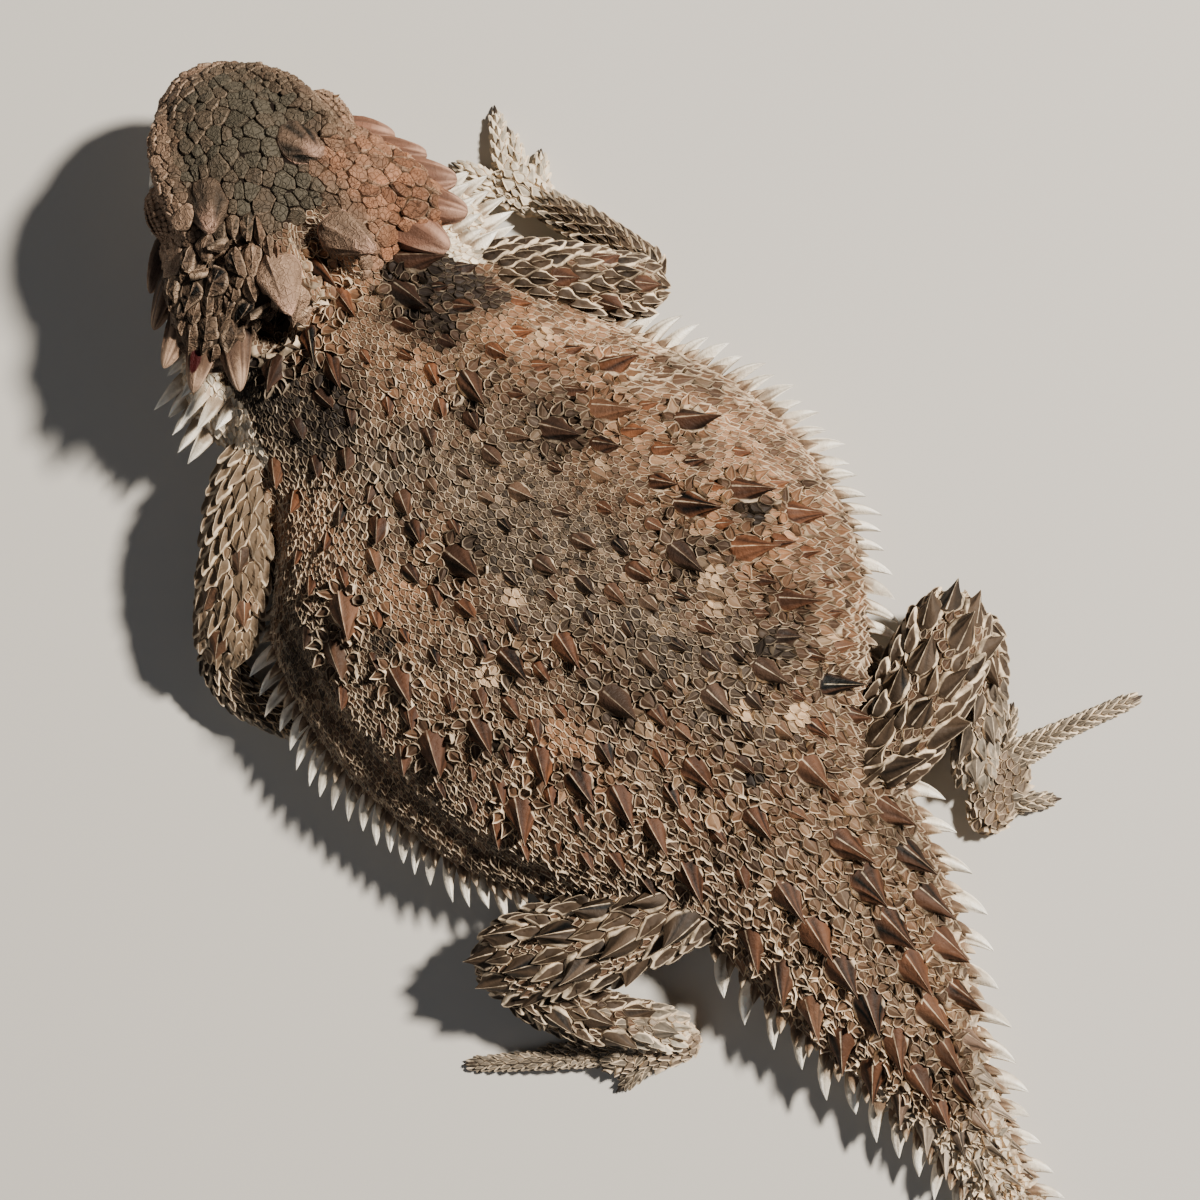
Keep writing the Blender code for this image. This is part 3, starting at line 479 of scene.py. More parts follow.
def limb(name, joints, sides, steps, depth=SKIN_DEPTH):
    """A round-ended limb through joints, each a point with its half width and half height."""
    joints = [(point, across - depth, upright - depth) for point, across, upright in joints]
    line, length = limb_line(joints)
    start_round, end_round = joints[0][1], joints[-1][1]
    quarter = [math.radians(a) for a in (12, 32, 56)]
    places = [(start_round * (1 - math.cos(a)), math.sin(a)) for a in quarter]
    places += [(d, 1.0) for d in evenly(start_round, length - end_round, steps)]
    places += [(length - end_round * (1 - math.cos(a)), math.sin(a)) for a in reversed(quarter)]
    rings = []
    for place, scale in places:
        middle, _, side, up, across, upright = limb_section(line, place)
        turns = [rounded(a, 2) for a in full_turn(sides)]
        rings.append([middle + scale * (side * across * c + up * upright * s) for c, s in turns])
    return loft(name, rings)


def mirrored(point, side):
    return Vector((point[0] * side, point[1], point[2]))


def mirrored_joints(joints, side):
    return [(mirrored(point, side), across, upright) for point, across, upright in joints]


def skull_point(y, angle):
    half_width, widest, top, bottom = along(SKULL, y)
    above = math.sin(angle) >= 0
    c, s = rounded(angle, CROWN_SQUARENESS if above else JAW_SQUARENESS)
    height = (top - widest) if above else (widest - bottom)
    out = Vector((c / half_width, 0, s / height)).normalized()
    return Vector((half_width * c, y, widest + height * s)) - out * SKIN_DEPTH


def ball(at, radius, segments=32, rings=16, size=(1, 1, 1), turn=None):
    bm = bmesh.new()
    bmesh.ops.create_uvsphere(bm, u_segments=segments, v_segments=rings, radius=radius)
    bmesh.ops.scale(bm, verts=bm.verts, vec=size)
    if turn:
        bmesh.ops.transform(bm, matrix=turn, verts=bm.verts)
    bmesh.ops.translate(bm, verts=bm.verts, vec=at)
    return new_object("ball", bm)


def moved(obj, matrix):
    obj.data.transform(matrix)
    return obj


def finished(obj, modifiers):
    """The mesh that an object's modifiers make, on a new object without them."""
    bpy.context.scene.collection.objects.link(obj)
    for kind, settings in modifiers:
        modifier = obj.modifiers.new(kind.lower(), kind)
        for key, value in settings.items():
            setattr(modifier, key, value)
    graph = bpy.context.evaluated_depsgraph_get()
    mesh = bpy.data.meshes.new_from_object(obj.evaluated_get(graph))
    result = bpy.data.objects.new(obj.name, mesh)
    bpy.data.objects.remove(obj)
    return result


def solid_change(obj, operation, others):
    pieces = bpy.data.collections.new("pieces")
    bpy.context.scene.collection.children.link(pieces)
    for other in others:
        pieces.objects.link(other)
    settings = {"operation": operation, "operand_type": "COLLECTION", "collection": pieces, "solver": "MANIFOLD"}
    result = finished(obj, [("BOOLEAN", settings)])
    for other in list(pieces.objects):
        bpy.data.objects.remove(other)
    bpy.data.collections.remove(pieces)
    return result


def mouth_path(tree, count):
    """Points of the line between the lips, from one corner of the jaw to the other, with the way out."""
    path = []
    for turn in evenly(-MOUTH_REACH, MOUTH_REACH, count):
        out = Vector((math.sin(math.radians(turn)), -math.cos(math.radians(turn)), 0))
        sag = (turn / MOUTH_REACH) ** 2
        start = MOUTH_CENTRE + Vector((0, 0, MOUTH_HEIGHT[0] * (1 - sag) + MOUTH_HEIGHT[1] * sag))
        path.append((tree.ray_cast(start + out * 40, -out)[0], out))
    return path


def tube(points, radius):
    """A closed round tube through points."""
    rings = []
    for k, point in enumerate(points):
        ahead = (points[min(k + 1, len(points) - 1)] - points[max(k - 1, 0)]).normalized()
        side = ahead.cross(UP).normalized()
        up = side.cross(ahead)
        rings.append([point + radius * (side * math.cos(a) + up * math.sin(a)) for a in full_turn(8)])
    return loft("tube", rings)


def tree_of(obj):
    mesh = obj.data
    return BVHTree.FromPolygons([v.co for v in mesh.vertices], [p.vertices for p in mesh.polygons])


def toe_joints(root, tip):
    root, tip = Vector((*root, 1.0)), Vector((*tip, 0.25))
    ahead = (tip - root).normalized()
    end = tip - ahead * 0.9
    knuckle = root.lerp(end, 0.5) + UP * 0.35
    return [(point, r, r) for point, r in zip((root, knuckle, end), TOE_RADII)]


def eye_way(side):
    """The way an eye looks in the head's frame, and the turn of its opening."""
    out = mirrored(EYE_OUT, side)
    return out, out.to_track_quat("Z", "Y").to_matrix()


def lid_folds(side):
    """Rolls of skin above and below the opening of an eye."""
    _, turn = eye_way(side)
    rolls = []
    for start, end, size, thickness in LID_FOLDS:
        points = []
        for degrees in evenly(start, end, 15):
            x = EYE_OPENING[0] * size * math.cos(math.radians(degrees))
            y = EYE_OPENING[1] * size * math.sin(math.radians(degrees))
            z = math.sqrt(max(EYE_RADIUS**2 - x * x - y * y, 0.0))
            points.append(mirrored(EYE_AT, side) + turn @ Vector((x, y, z)))
        rolls.append(tube(points, thickness))
    return rolls


def joined_meshes(name, objects):
    bm = bmesh.new()
    for obj in objects:
        bm.from_mesh(obj.data)
        bpy.data.objects.remove(obj)
    return new_object(name, bm)


def build_skin():
    """The whole skin as one closed surface, in millimetres."""
    rings = [[trunk_point(y, a) for a in full_turn(72)] for y in evenly(*TRUNK_REACH, 130)]
    parts = [loft("trunk", rings)]
    parts += [limb("fold", fold, 20, 12) for fold in NECK_FOLDS]
    parts += [limb(name, joints, 24, 20) for name, joints in LIMBS.items()]
    for bones, _ in PAWS.values():
        parts.append(limb("palm", [((x, y, PALM_HEIGHT), width, 1.4) for (x, y), width in bones], 20, 12))
    skull_turns = full_turn(56)
    places = [SKULL_START + SKULL_LENGTH * (k / 47) ** 1.25 for k in range(48)]
    skull = loft("skull", [[skull_point(y, a) for a in skull_turns] for y in places])
    skull = moved(solid_change(skull, "DIFFERENCE", [ball(*NAPE_NOTCH)]), HEAD)
    parts.append(skull)
    for side in (1, -1):
        for joints in (BROW, TEMPLE, LOWER_LIP):
            parts.append(moved(limb("ridge", mirrored_joints(joints, side), 16, 14), HEAD))
        parts.append(moved(ball(mirrored(EYE_AT, side), EYE_RADIUS + 0.42), HEAD))
        parts += [moved(roll, HEAD) for roll in lid_folds(side)]
    skin = joined_meshes("skin", parts)
    skin = finished(
        skin,
        [
            ("REMESH", {"mode": "VOXEL", "voxel_size": SKIN_GRAIN, "use_smooth_shade": True}),
            ("SMOOTH", {"factor": 0.5, "iterations": 3}),
        ],
    )
    toes, holes = [], []
    for _, digits in PAWS.values():
        toes += [limb("toe", toe_joints(root, tip), 12, 9, TOE_DEPTH) for root, tip in digits]
    skin = solid_change(skin, "UNION", toes)
    head_tree = BVHTree.FromPolygons(
        [HEAD.inverted() @ v.co for v in skin.data.vertices], [p.vertices for p in skin.data.polygons]
    )
    mouth = mouth_path(head_tree, 61)
    holes.append(moved(tube([point for point, _ in mouth], 0.3), HEAD))
    holes += [ball(*TEMPLE_PIT), moved(ball(*BROW_GROOVE), HEAD)]
    for side in (1, -1):
        out, turn = eye_way(side)
        almond = ball(mirrored(EYE_AT, side) + out * 2.4, 1.0, 32, 16, (*EYE_OPENING, 2.0), turn.to_4x4())
        holes.append(moved(almond, HEAD))
        holes.append(moved(ball(mirrored(EYE_AT, side), EYE_RADIUS + 0.06), HEAD))
        holes.append(moved(ball(mirrored(NOSTRIL_AT, side) + Vector((0, -0.1, 0)), 0.55, 16, 8), HEAD))
    skin = solid_change(skin, "DIFFERENCE", holes)
    bm = bmesh.new()
    bm.from_mesh(skin.data)
    bmesh.ops.triangulate(bm, faces=bm.faces)
    for vert in bm.verts:
        vert.co.z = max(vert.co.z, FLOOR_ROOM)
    bm.to_mesh(skin.data)
    bm.free()
    in_fixed_order(skin.data)
    return skin, [(HEAD @ point, HEAD.to_3x3() @ out) for point, out in mouth]


def numbers(mesh, key, size, kind, of="vertices"):
    values = np.empty(len(getattr(mesh, of)) * size, kind)
    getattr(mesh, of).foreach_get(key, values)
    return values.reshape(-1, size)


def in_fixed_order(mesh):
    """Lists the triangles of a mesh in one fixed order, since a Boolean may list them in another each run."""
    corners = numbers(mesh, "co", 3, np.float32)
    faces = numbers(mesh, "vertices", 3, np.int32, "polygons")
    first = (faces.argmin(axis=1)[:, None] + np.arange(3)) % 3
    faces = np.take_along_axis(faces, first, axis=1)
    faces = faces[np.lexsort(faces.T[::-1])]
    mesh.clear_geometry()
    mesh.from_pydata(corners.tolist(), [], faces.tolist())


def node_finder():
    """A tree of every CAD triangle, in millimetres, and the name of the node of each."""
    points, faces, owners = [], [], []
    for name, obj in frame["nodes"].items():
        mesh = obj.data
        mesh.calc_loop_triangles()
        start = len(points)
        points += [Vector(v.co) / MM + BOX_CENTRE for v in mesh.vertices]
        faces += [[start + i for i in t.vertices] for t in mesh.loop_triangles]
        owners += [name] * len(mesh.loop_triangles)
    return BVHTree.FromPolygons(points, faces), owners


skin, mouth = build_skin()
skin_tree = tree_of(skin)
cad_tree, cad_owners = node_finder()
head_inverse = HEAD.inverted()


def in_nape(local):
    """Whether a point of the head's frame lies in the nape's hollow."""
    return local.y > -5.6 and abs(local.x + 0.8) < 2.6 and local.z > 15.5


def nearest(tree, point):
    """The nearest place on a surface: of equally near triangles the first, so that each run gives the same."""
    distance = tree.find_nearest(point)[3]
    return min(tree.find_nearest_range(point, distance + TIE), key=lambda found: found[2])


def owner_at(point):
    name = cad_owners[nearest(cad_tree, point)[2]]
    return "neck" if name == "head" and in_nape(head_inverse @ point) else name


def in_head(points):
    """Points in the head's own frame."""
    turn = np.array(head_inverse)
    return points @ turn[:3, :3].T + turn[:3, 3]


class Seeds:
    """The roots of scales: place, way out, lie, half size and what grows there."""

    def __init__(self):
        self.rows = []

    def add(self, point, normal, lie, size, kind, owner, aspect=1.0, height=1.0, lean=0.0):
        self.rows.append((*point, *normal, *lie, size, kind, owner, aspect, height, lean))

    def arrays(self):
        rows = self.rows
        found = {
            "p": np.array([r[0:3] for r in rows], float),
            "n": np.array([r[3:6] for r in rows], float),
            "lie": np.array([r[6:9] for r in rows], float),
            "size": np.array([r[9] for r in rows], float),
            "kind": np.array([r[10] for r in rows]),
            "owner": np.array([r[11] for r in rows]),
            "aspect": np.array([r[12] for r in rows], float),
            "height": np.array([r[13] for r in rows], float),
            "lean": np.array([r[14] for r in rows], float),
        }
        found["n"] /= np.linalg.norm(found["n"], axis=1)[:, None]
        tilt = np.where(np.isin(found["kind"], ("plate", "grain", "petal")), 0.13, 0.05)
        found["n"] += chance.normal(0, 1, found["n"].shape) * tilt[:, None]
        found["n"] /= np.linalg.norm(found["n"], axis=1)[:, None]
        flat = found["lie"] - (found["lie"] * found["n"]).sum(1)[:, None] * found["n"]
        found["u"] = flat / np.maximum(np.linalg.norm(flat, axis=1), 1e-6)[:, None]
        found["v"] = np.cross(found["n"], found["u"])
        found["tint"] = chance.uniform(0, 1, len(rows))
        return found


seeds = Seeds()


def trunk_share(x, y):
    middle, half_width = along(TRUNK, y)[:2]
    return max(-1.0, min(1.0, (x - middle) / half_width))


def trunk_lie(x, y):
    """The lie of the scales of the back: towards the tail, and outwards near the flanks."""
    middle, ahead = along(TRUNK, y)[0], along(TRUNK, y + 0.5)[0]
    share = trunk_share(x, y)
    outward = 0.5 * share if share > -0.45 or y > 20 else 1.3 * share
    return Vector(((ahead - middle) / 0.5 + outward, 1.0, -0.2 * abs(share)))


def lie_at(point, owner):
    if owner == "head":
        local = head_inverse @ point
        side = 1 if local.x > 0 else -1
        way = Vector((0.25 * side, 0.5, 0)) if abs(local.x) < 6 else Vector((0.75 * side, 0.65, -0.1))
        return HEAD.to_3x3() @ way
    if owner in LIMBS:
        joints = LIMBS[owner]
        return Vector(joints[-1][0]) - Vector(joints[0][0])
    if owner in PAWS:
        bones = PAWS[owner][0]
        return Vector((bones[-1][0][0] - bones[0][0][0], bones[-1][0][1] - bones[0][0][1], 0))
    return trunk_lie(point.x, point.y)


def turned(lie, normal, spread):
    return Matrix.Rotation(chance.uniform(-spread, spread), 3, normal) @ Vector(lie)


def from_above(x, y):
    """The skin under a point of the picture, with its way out."""
    hit, normal, _, _ = skin_tree.ray_cast(Vector((x, y, 60)), Vector((0, 0, -1)))
    return hit, normal


def varied(value, spread=0.14):
    return value * (1 + chance.uniform(-spread, spread))


def add_thorn(point, normal, lie, size, owner, kind, height, lean, petals=9):
    """A large thorn with a ring of raised scales round its root."""
    lie = turned(lie, normal, 0.2)
    seeds.add(point, normal, lie, size, kind, owner, 1.32, height, lean)
    ahead = (lie - normal * lie.dot(normal)).normalized()
    aside = normal.cross(ahead)
    for k in range(petals):
        angle = 2 * math.pi * (k + 0.5 + chance.uniform(-0.12, 0.12)) / petals
        ring = size + 0.45
        spot = point + ahead * math.cos(angle) * ring * 1.25 + aside * math.sin(angle) * ring
        hit, out, _, _ = nearest(skin_tree, spot)
        if owner_at(hit).split("_")[0] == owner.split("_")[0]:
            away = (hit - point).normalized() + ahead * 0.6
            seeds.add(hit, out, away, varied(0.47, 0.1), "petal", owner, 1.1, varied(0.6), 0.3)


def seed_back_thorns():
    for x, y in NAPE_THORNS:
        hit, normal = from_above(x, y)
        add_thorn(hit, normal, trunk_lie(x, y), varied(1.35), "neck", "thorn", varied(2.3), varied(2.5))
    for x, y in BACK_THORNS:
        hit, normal = from_above(x, y)
        add_thorn(hit, normal, trunk_lie(x, y), varied(1.3), "torso", "thorn", varied(1.9), varied(2.4))
    placed = [Vector((x, y, 0)) for x, y in NAPE_THORNS + BACK_THORNS]
    tries = 0
    while len(placed) < 230 and tries < 4000:
        tries += 1
        y = chance.uniform(-30, 29)
        middle, half_width = along(TRUNK, y)[:2]
        x = middle + chance.uniform(-0.82, 0.82) * half_width
        spot = Vector((x, y, 0))
        if min((spot - other).length for other in placed) < 2.7:
            continue
        placed.append(spot)
        hit, normal = from_above(x, y)
        if owner_at(hit) not in ("torso", "neck"):
            continue
        size = chance.uniform(0.5, 0.95)
        lie = turned(trunk_lie(x, y), normal, 0.3)
        seeds.add(hit, normal, lie, size, "keeled", "torso", 1.3, size * 1.3, size * 1.7)


def seed_tail_thorns():
    for side in (1, -1):
        for row in TAIL_ROWS:
            y = TAIL_START + 1.8 * row
            while y < TAIL_END:
                middle, half_width = along(TRUNK, y)[:2]
                taper = min(1.0, 0.35 + half_width / 12)
                hit, normal = from_above(middle + side * row * half_width, y)
                owner = owner_at(hit)
                if owner.startswith("tail"):
                    lie = trunk_lie(hit.x, y)
                    size = varied(1.5) * taper
                    height, lean = varied(2.0) * taper, varied(2.7) * taper
                    add_thorn(hit, normal, lie, size, owner, "thorn", height, lean, 8)
                y += 4.2 * taper


def limb_point(line, length, share, angle):
    middle, ahead, side, up, _, _ = limb_section(line, share * length)
    out = (side * math.cos(angle) + up * math.sin(angle)).normalized()
    hit, normal, _, _ = skin_tree.ray_cast(middle, out, 9.0)
    return hit, normal, ahead


def seed_limb_thorns():
    for stem, places in LEG_THORNS.items():
        for side in ("left", "right"):
            name = f"{stem}_{side}"
            line, length = limb_line(LIMBS[name])
            flipped = (side == "left") == (stem != "upper_arm")
            for share, degrees in places:
                degrees += chance.uniform(-6, 6)
                angle = math.radians(180 - degrees if flipped else degrees)
                hit, normal, ahead = limb_point(line, length, share, angle)
                if hit is None or owner_at(hit) != name:
                    continue
                if stem == "upper_arm":
                    seeds.add(hit, normal, ahead, 0.95, "keeled", name, 1.4, 0.8, 1.4)
                    continue
                size = varied(1.5 if stem == "thigh" else 1.15) * (1 - 0.2 * share)
                tall = varied(size * 1.35) * (1 - 0.45 * share**3)
                seeds.add(hit, normal, ahead, size, "spike", name, 1.35, tall, varied(size * 1.6))


def seed_limb_rows():
    """Scales in staggered rows round each limb, which point towards its end."""
    for name, joints in LIMBS.items():
        stem = name.rsplit("_", 1)[0]
        columns, step, height = LIMB_SCALES[stem]
        line, length = limb_line(joints)
        taken = [(Vector(row[:3]), row[9]) for row in seeds.rows if row[11] == name]
        row, place = 0, 0.5
        while place < length - 0.3:
            for k in range(columns):
                angle = 2 * math.pi * (k + 0.5 * (row % 2) + chance.uniform(-0.1, 0.1)) / columns
                share = min(1.0, (place + chance.uniform(-0.1, 0.1)) / length)
                hit, normal, ahead = limb_point(line, length, share, angle)
                if hit is None or owner_at(hit) != name:
                    continue
                if any((hit - other).length < size + 0.55 for other, size in taken):
                    continue
                across = limb_section(line, place)[4]
                size = varied(math.pi * across / columns, 0.12)
                under = min(1.0, max(0.35, 0.7 + 0.6 * normal.z))
                lie = turned(ahead, normal, 0.12)
                seeds.add(hit, normal, lie, size, "limb", name, 1.35, varied(height) * under, 0.6 * under)
            place += step
            row += 1


def seed_toe_rows():
    for name, (_, digits) in PAWS.items():
        for root, tip in digits:
            line, length = limb_line(toe_joints(root, tip))
            row, place = 0, 0.45
            while place < length + 0.2:
                for k in range(6):
                    angle = 2 * math.pi * (k + 0.5 * (row % 2)) / 6
                    hit, normal, ahead = limb_point(line, length, min(place / length, 0.98), angle)
                    if hit is None or hit.z < 0.3:
                        continue
                    across = limb_section(line, place)[4]
                    seeds.add(
                        hit, normal, ahead, varied(math.pi * across / 6, 0.1), "toe", name, 1.25, 0.3, 0.3
                    )
                place += 0.62
                row += 1


def seed_lips():
    """The scales along both lips."""
    for lift in (0.8, -0.8):
        for k, (point, out) in enumerate(mouth[1:-1]):
            if k % 2:
                continue
            start = point + UP * lift + out * 6
            hit, normal, _, _ = skin_tree.ray_cast(start, -out, 12)
            if hit is not None:
                way = out.cross(UP) * (1 if k < 30 else -1)
                seeds.add(hit, normal, way, 0.6, "lip", "head", 1.1, 0.26, 0.1)


temple_horns = []


def place_horns():
    """The horns of the temples stand out straight. Those of the brows and the nape grow on the crown as low cones."""
    for side in (1, -1):
        for k, (root, tip, width, thickness) in enumerate(HORNS):
            root, tip = HEAD @ mirrored(root, side), HEAD @ mirrored(tip, side)
            if k not in CROWN_HORNS:
                temple_horns.append((root, tip, width, thickness, side))
                continue
            size, left_reach, right_reach = CROWN_HORNS[k]
            tip = root.lerp(tip, left_reach if side > 0 else right_reach)
            hit, normal, _, _ = nearest(skin_tree, root.lerp(tip, 0.25) + UP * 3)
            way = tip - root
            ahead = (way - normal * way.dot(normal)).normalized()
            height, lean = (tip - hit).dot(normal), (tip - hit).dot(ahead)
            seeds.add(hit, normal, way, size, "horn", "head", 1.1, height, lean)


def seed_lids():
    """Rings of small scales on the eyelids, round the opening of each eye."""
    turn_head = HEAD.to_3x3()
    for side in (1, -1):
        out, turn = eye_way(side)
        for share, size in LID_ROWS:
            across, upright = (half + (EYE_RADIUS + 0.65 - half) * share for half in EYE_OPENING)
            count = round(math.pi * (across + upright) / (2 * size))
            for k in range(count):
                angle = 2 * math.pi * (k + chance.uniform(-0.15, 0.15)) / count
                spread = turn @ Vector((across * math.cos(angle), upright * math.sin(angle), 0))
                start = HEAD @ (mirrored(EYE_AT, side) + spread + out * 6)
                hit, normal, _, _ = skin_tree.ray_cast(start, turn_head @ -out, 8)
                if hit is not None:
                    seeds.add(hit, normal, turn_head @ spread, varied(size), "lid", "head", 1.0, varied(0.17), 0.05)


def half_spacing(point, owner):
    """Half the distance between small scales at a place, or nothing where there are none."""
    if point.z < FLOOR_BAND:
        return 0.0
    if owner == "head":
        local = head_inverse @ point
        if local.z < JAW_TOP:
            return HALF_SPACING["throat"]
        if (local - mirrored(NOSTRIL_AT, 1 if local.x > 0 else -1)).length < NOSTRIL_ROOM:
            return 0.0
        crown = math.hypot((local.x + 0.4) / 7.0, (local.y + 12.4) / 9.4)
        if local.z > 15.5 and crown < 1.0:
            middle, change = HALF_SPACING["crown"]
            return middle + change * crown**3
        if local.y > -9:
            return HALF_SPACING["left_temple" if local.x > 1.5 else "temple"]
        return HALF_SPACING["face"]
    if owner == "neck":
        return HALF_SPACING["neck_fold" if abs(point.x) > NECK_FOLD_FROM else "nape"]
    if owner == "torso":
        if point.z < 5.6:
            return HALF_SPACING["belly"]
        patch = 0.5 + 0.5 * float(ripple(np.array([point]), 0)[0])
        share = trunk_share(point.x, point.y)
        left_side = max(0.0, min(1.0, (share - 0.3) / 0.3))
        rear = max(0.0, min(1.0, (point.y - 2) / 20))
        smallest, patchy, rearward = HALF_SPACING["back"]
        return smallest + patchy * max(0.0, min(1.0, patch)) * (1 - left_side) + rearward * rear
    if owner.startswith("tail"):
        start, change = HALF_SPACING["tail"]
        return start + change * max(0.0, min(1.0, (point.y - 30) / 45))
    return HALF_SPACING["paw" if owner in PAWS else "limb"]


def is_left_temple(local):
    return local.y > TEMPLE_START and local.x > 2.0 and local.z > 13.0


def small_aspect(point, owner):
    if owner == "torso" and -15 < point.y < 18 and trunk_share(point.x, point.y) < -0.5:
        return 1.6
    if owner == "head" and (head_inverse @ point).y > TEMPLE_START:
        return 1.55 if is_left_temple(head_inverse @ point) else 1.3
    return 1.12


def seed_small_scales():
    """Scatters the small scales evenly over the skin that is still free."""
    mesh = skin.data
    corners = numbers(mesh, "co", 3, np.float32)
    faces = numbers(mesh, "vertices", 3, np.int32, "polygons")
    a, b, c = (corners[faces[:, k]] for k in range(3))
    middles = (a + b + c) / 3
    areas = np.linalg.norm(np.cross(b - a, c - a), axis=1) / 2
    owners = [owner_at(Vector(m)) for m in middles]
    spacing = np.array([half_spacing(Vector(m), o) for m, o in zip(middles, owners)])
    weight = np.where(spacing > 0, areas / np.maximum(spacing, 0.1) ** 2, 0)
    count = int(weight.sum() * 3.4)
    pick = chance.choice(len(faces), count, p=weight / weight.sum())
    r1, r2 = np.sqrt(chance.uniform(0, 1, count)), chance.uniform(0, 1, count)
    spots = a[pick] * (1 - r1)[:, None] + b[pick] * (r1 * (1 - r2))[:, None] + c[pick] * (r1 * r2)[:, None]
    normals = np.cross(b - a, c - a)[pick]
    on_head = np.array([owners[k] == "head" for k in pick])
    sizes = spacing[pick] * np.exp(chance.normal(0, 1, count) * np.where(on_head, 0.28, 0.17))
    near = KDTree(count)
    for k, spot in enumerate(spots):
        near.insert(spot, k)
    near.balance()
    free = np.ones(count, bool)

    def clear(point, lie, reach, aspect):
        found = [j for _, j, _ in near.find_range(point, reach * aspect) if free[j]]
        if not found:
            return
        away = spots[found] - np.array(point)
        ahead = (away * np.array(lie)).sum(1)
        across = (away * away).sum(1) - ahead**2
        inside = (ahead / aspect) ** 2 + across < reach**2
        free[np.array(found)[inside]] = False

    for row in seeds.rows:
        reach = row[9] * (0.95 if row[10] in ("limb", "toe", "lip", "lid", "petal") else 1.0) + 0.14
        clear(row[:3], Vector(row[6:9]).normalized(), reach, row[12])
    for point, _ in mouth:
        clear(point, UP, 0.5, 1.0)
    for root, tip, width, _, _ in temple_horns:
        for share in (0.25, 0.5):
            clear(root.lerp(tip, share), UP, width * 0.36, 1.0)
    for side in (1, -1):
        clear(HEAD @ mirrored(EYE_AT, side), UP, EYE_RADIUS + 0.3, 1.0)
    for k in range(count):
        if not free[k]:
            continue
        spot, owner, size = Vector(spots[k]), owners[pick[k]], sizes[k]
        aspect = small_aspect(spot, owner)
        lie = turned(lie_at(spot, owner), Vector(normals[k]).normalized(), 0.25)
        clear(spot, lie.normalized(), 1.72 * size, aspect)
        if owner == "head" and (head_inverse @ spot).z > JAW_TOP:
            local = head_inverse @ spot
            if is_left_temple(local):
                seeds.add(spot, normals[k], lie, size, "ridged", owner, aspect, varied(0.65, 0.35), 0.4)
            else:
                seeds.add(spot, normals[k], lie, size, "plate", owner, aspect, varied(0.28, 0.35), 0.1)
        else:
            seeds.add(spot, normals[k], lie, size, "grain", owner, aspect, varied(size, 0.2), size * 0.5)


# How far past its own half size a scale may grow into free room.
ROOM = {"plate": 2.1, "ridged": 2.2, "lip": 1.4, "lid": 1.3, "limb": 1.3, "toe": 1.3, "petal": 1.5, "grain": 1.6}


def cell_reach(scales, directions):
    """How far each scale reaches in a few directions before it meets its neighbours."""
    count = len(scales["p"])
    near = KDTree(count)
    for k, point in enumerate(scales["p"]):
        near.insert(point, k)
    near.balance()
    around = np.zeros((count, 13), int)
    for k, point in enumerate(scales["p"]):
        found = [j for _, j, _ in near.find_n(point, 14) if j != k][:13]
        around[k, : len(found)] = found
    gap = scales["p"][around] - scales["p"][:, None, :]
    length = np.linalg.norm(gap, axis=2)
    du = (gap * scales["u"][:, None, :]).sum(2)
    dv = (gap * scales["v"][:, None, :]).sum(2)
    flat = np.maximum(np.hypot(du, dv), 1e-5)
    du, dv = du * length / flat / scales["aspect"][:, None], dv * length / flat
    share = scales["size"][:, None] / (scales["size"][:, None] + scales["size"][around])
    behind = (scales["n"][:, None, :] * scales["n"][around]).sum(2) < -0.2
    angles = np.array([2 * math.pi * k / directions for k in range(directions)])
    c, sn = np.cos(angles), np.sin(angles)
    toward = du[:, :, None] * c + dv[:, :, None] * sn
    reach = (share * (du**2 + dv**2))[:, :, None] / np.maximum(toward, 1e-6)
    reach[(toward < 1e-4) | behind[:, :, None]] = 9.0
    room = np.array([ROOM.get(str(kind), 1.04) for kind in scales["kind"]])
    return np.minimum(reach.min(axis=1), (room * scales["size"])[:, None])


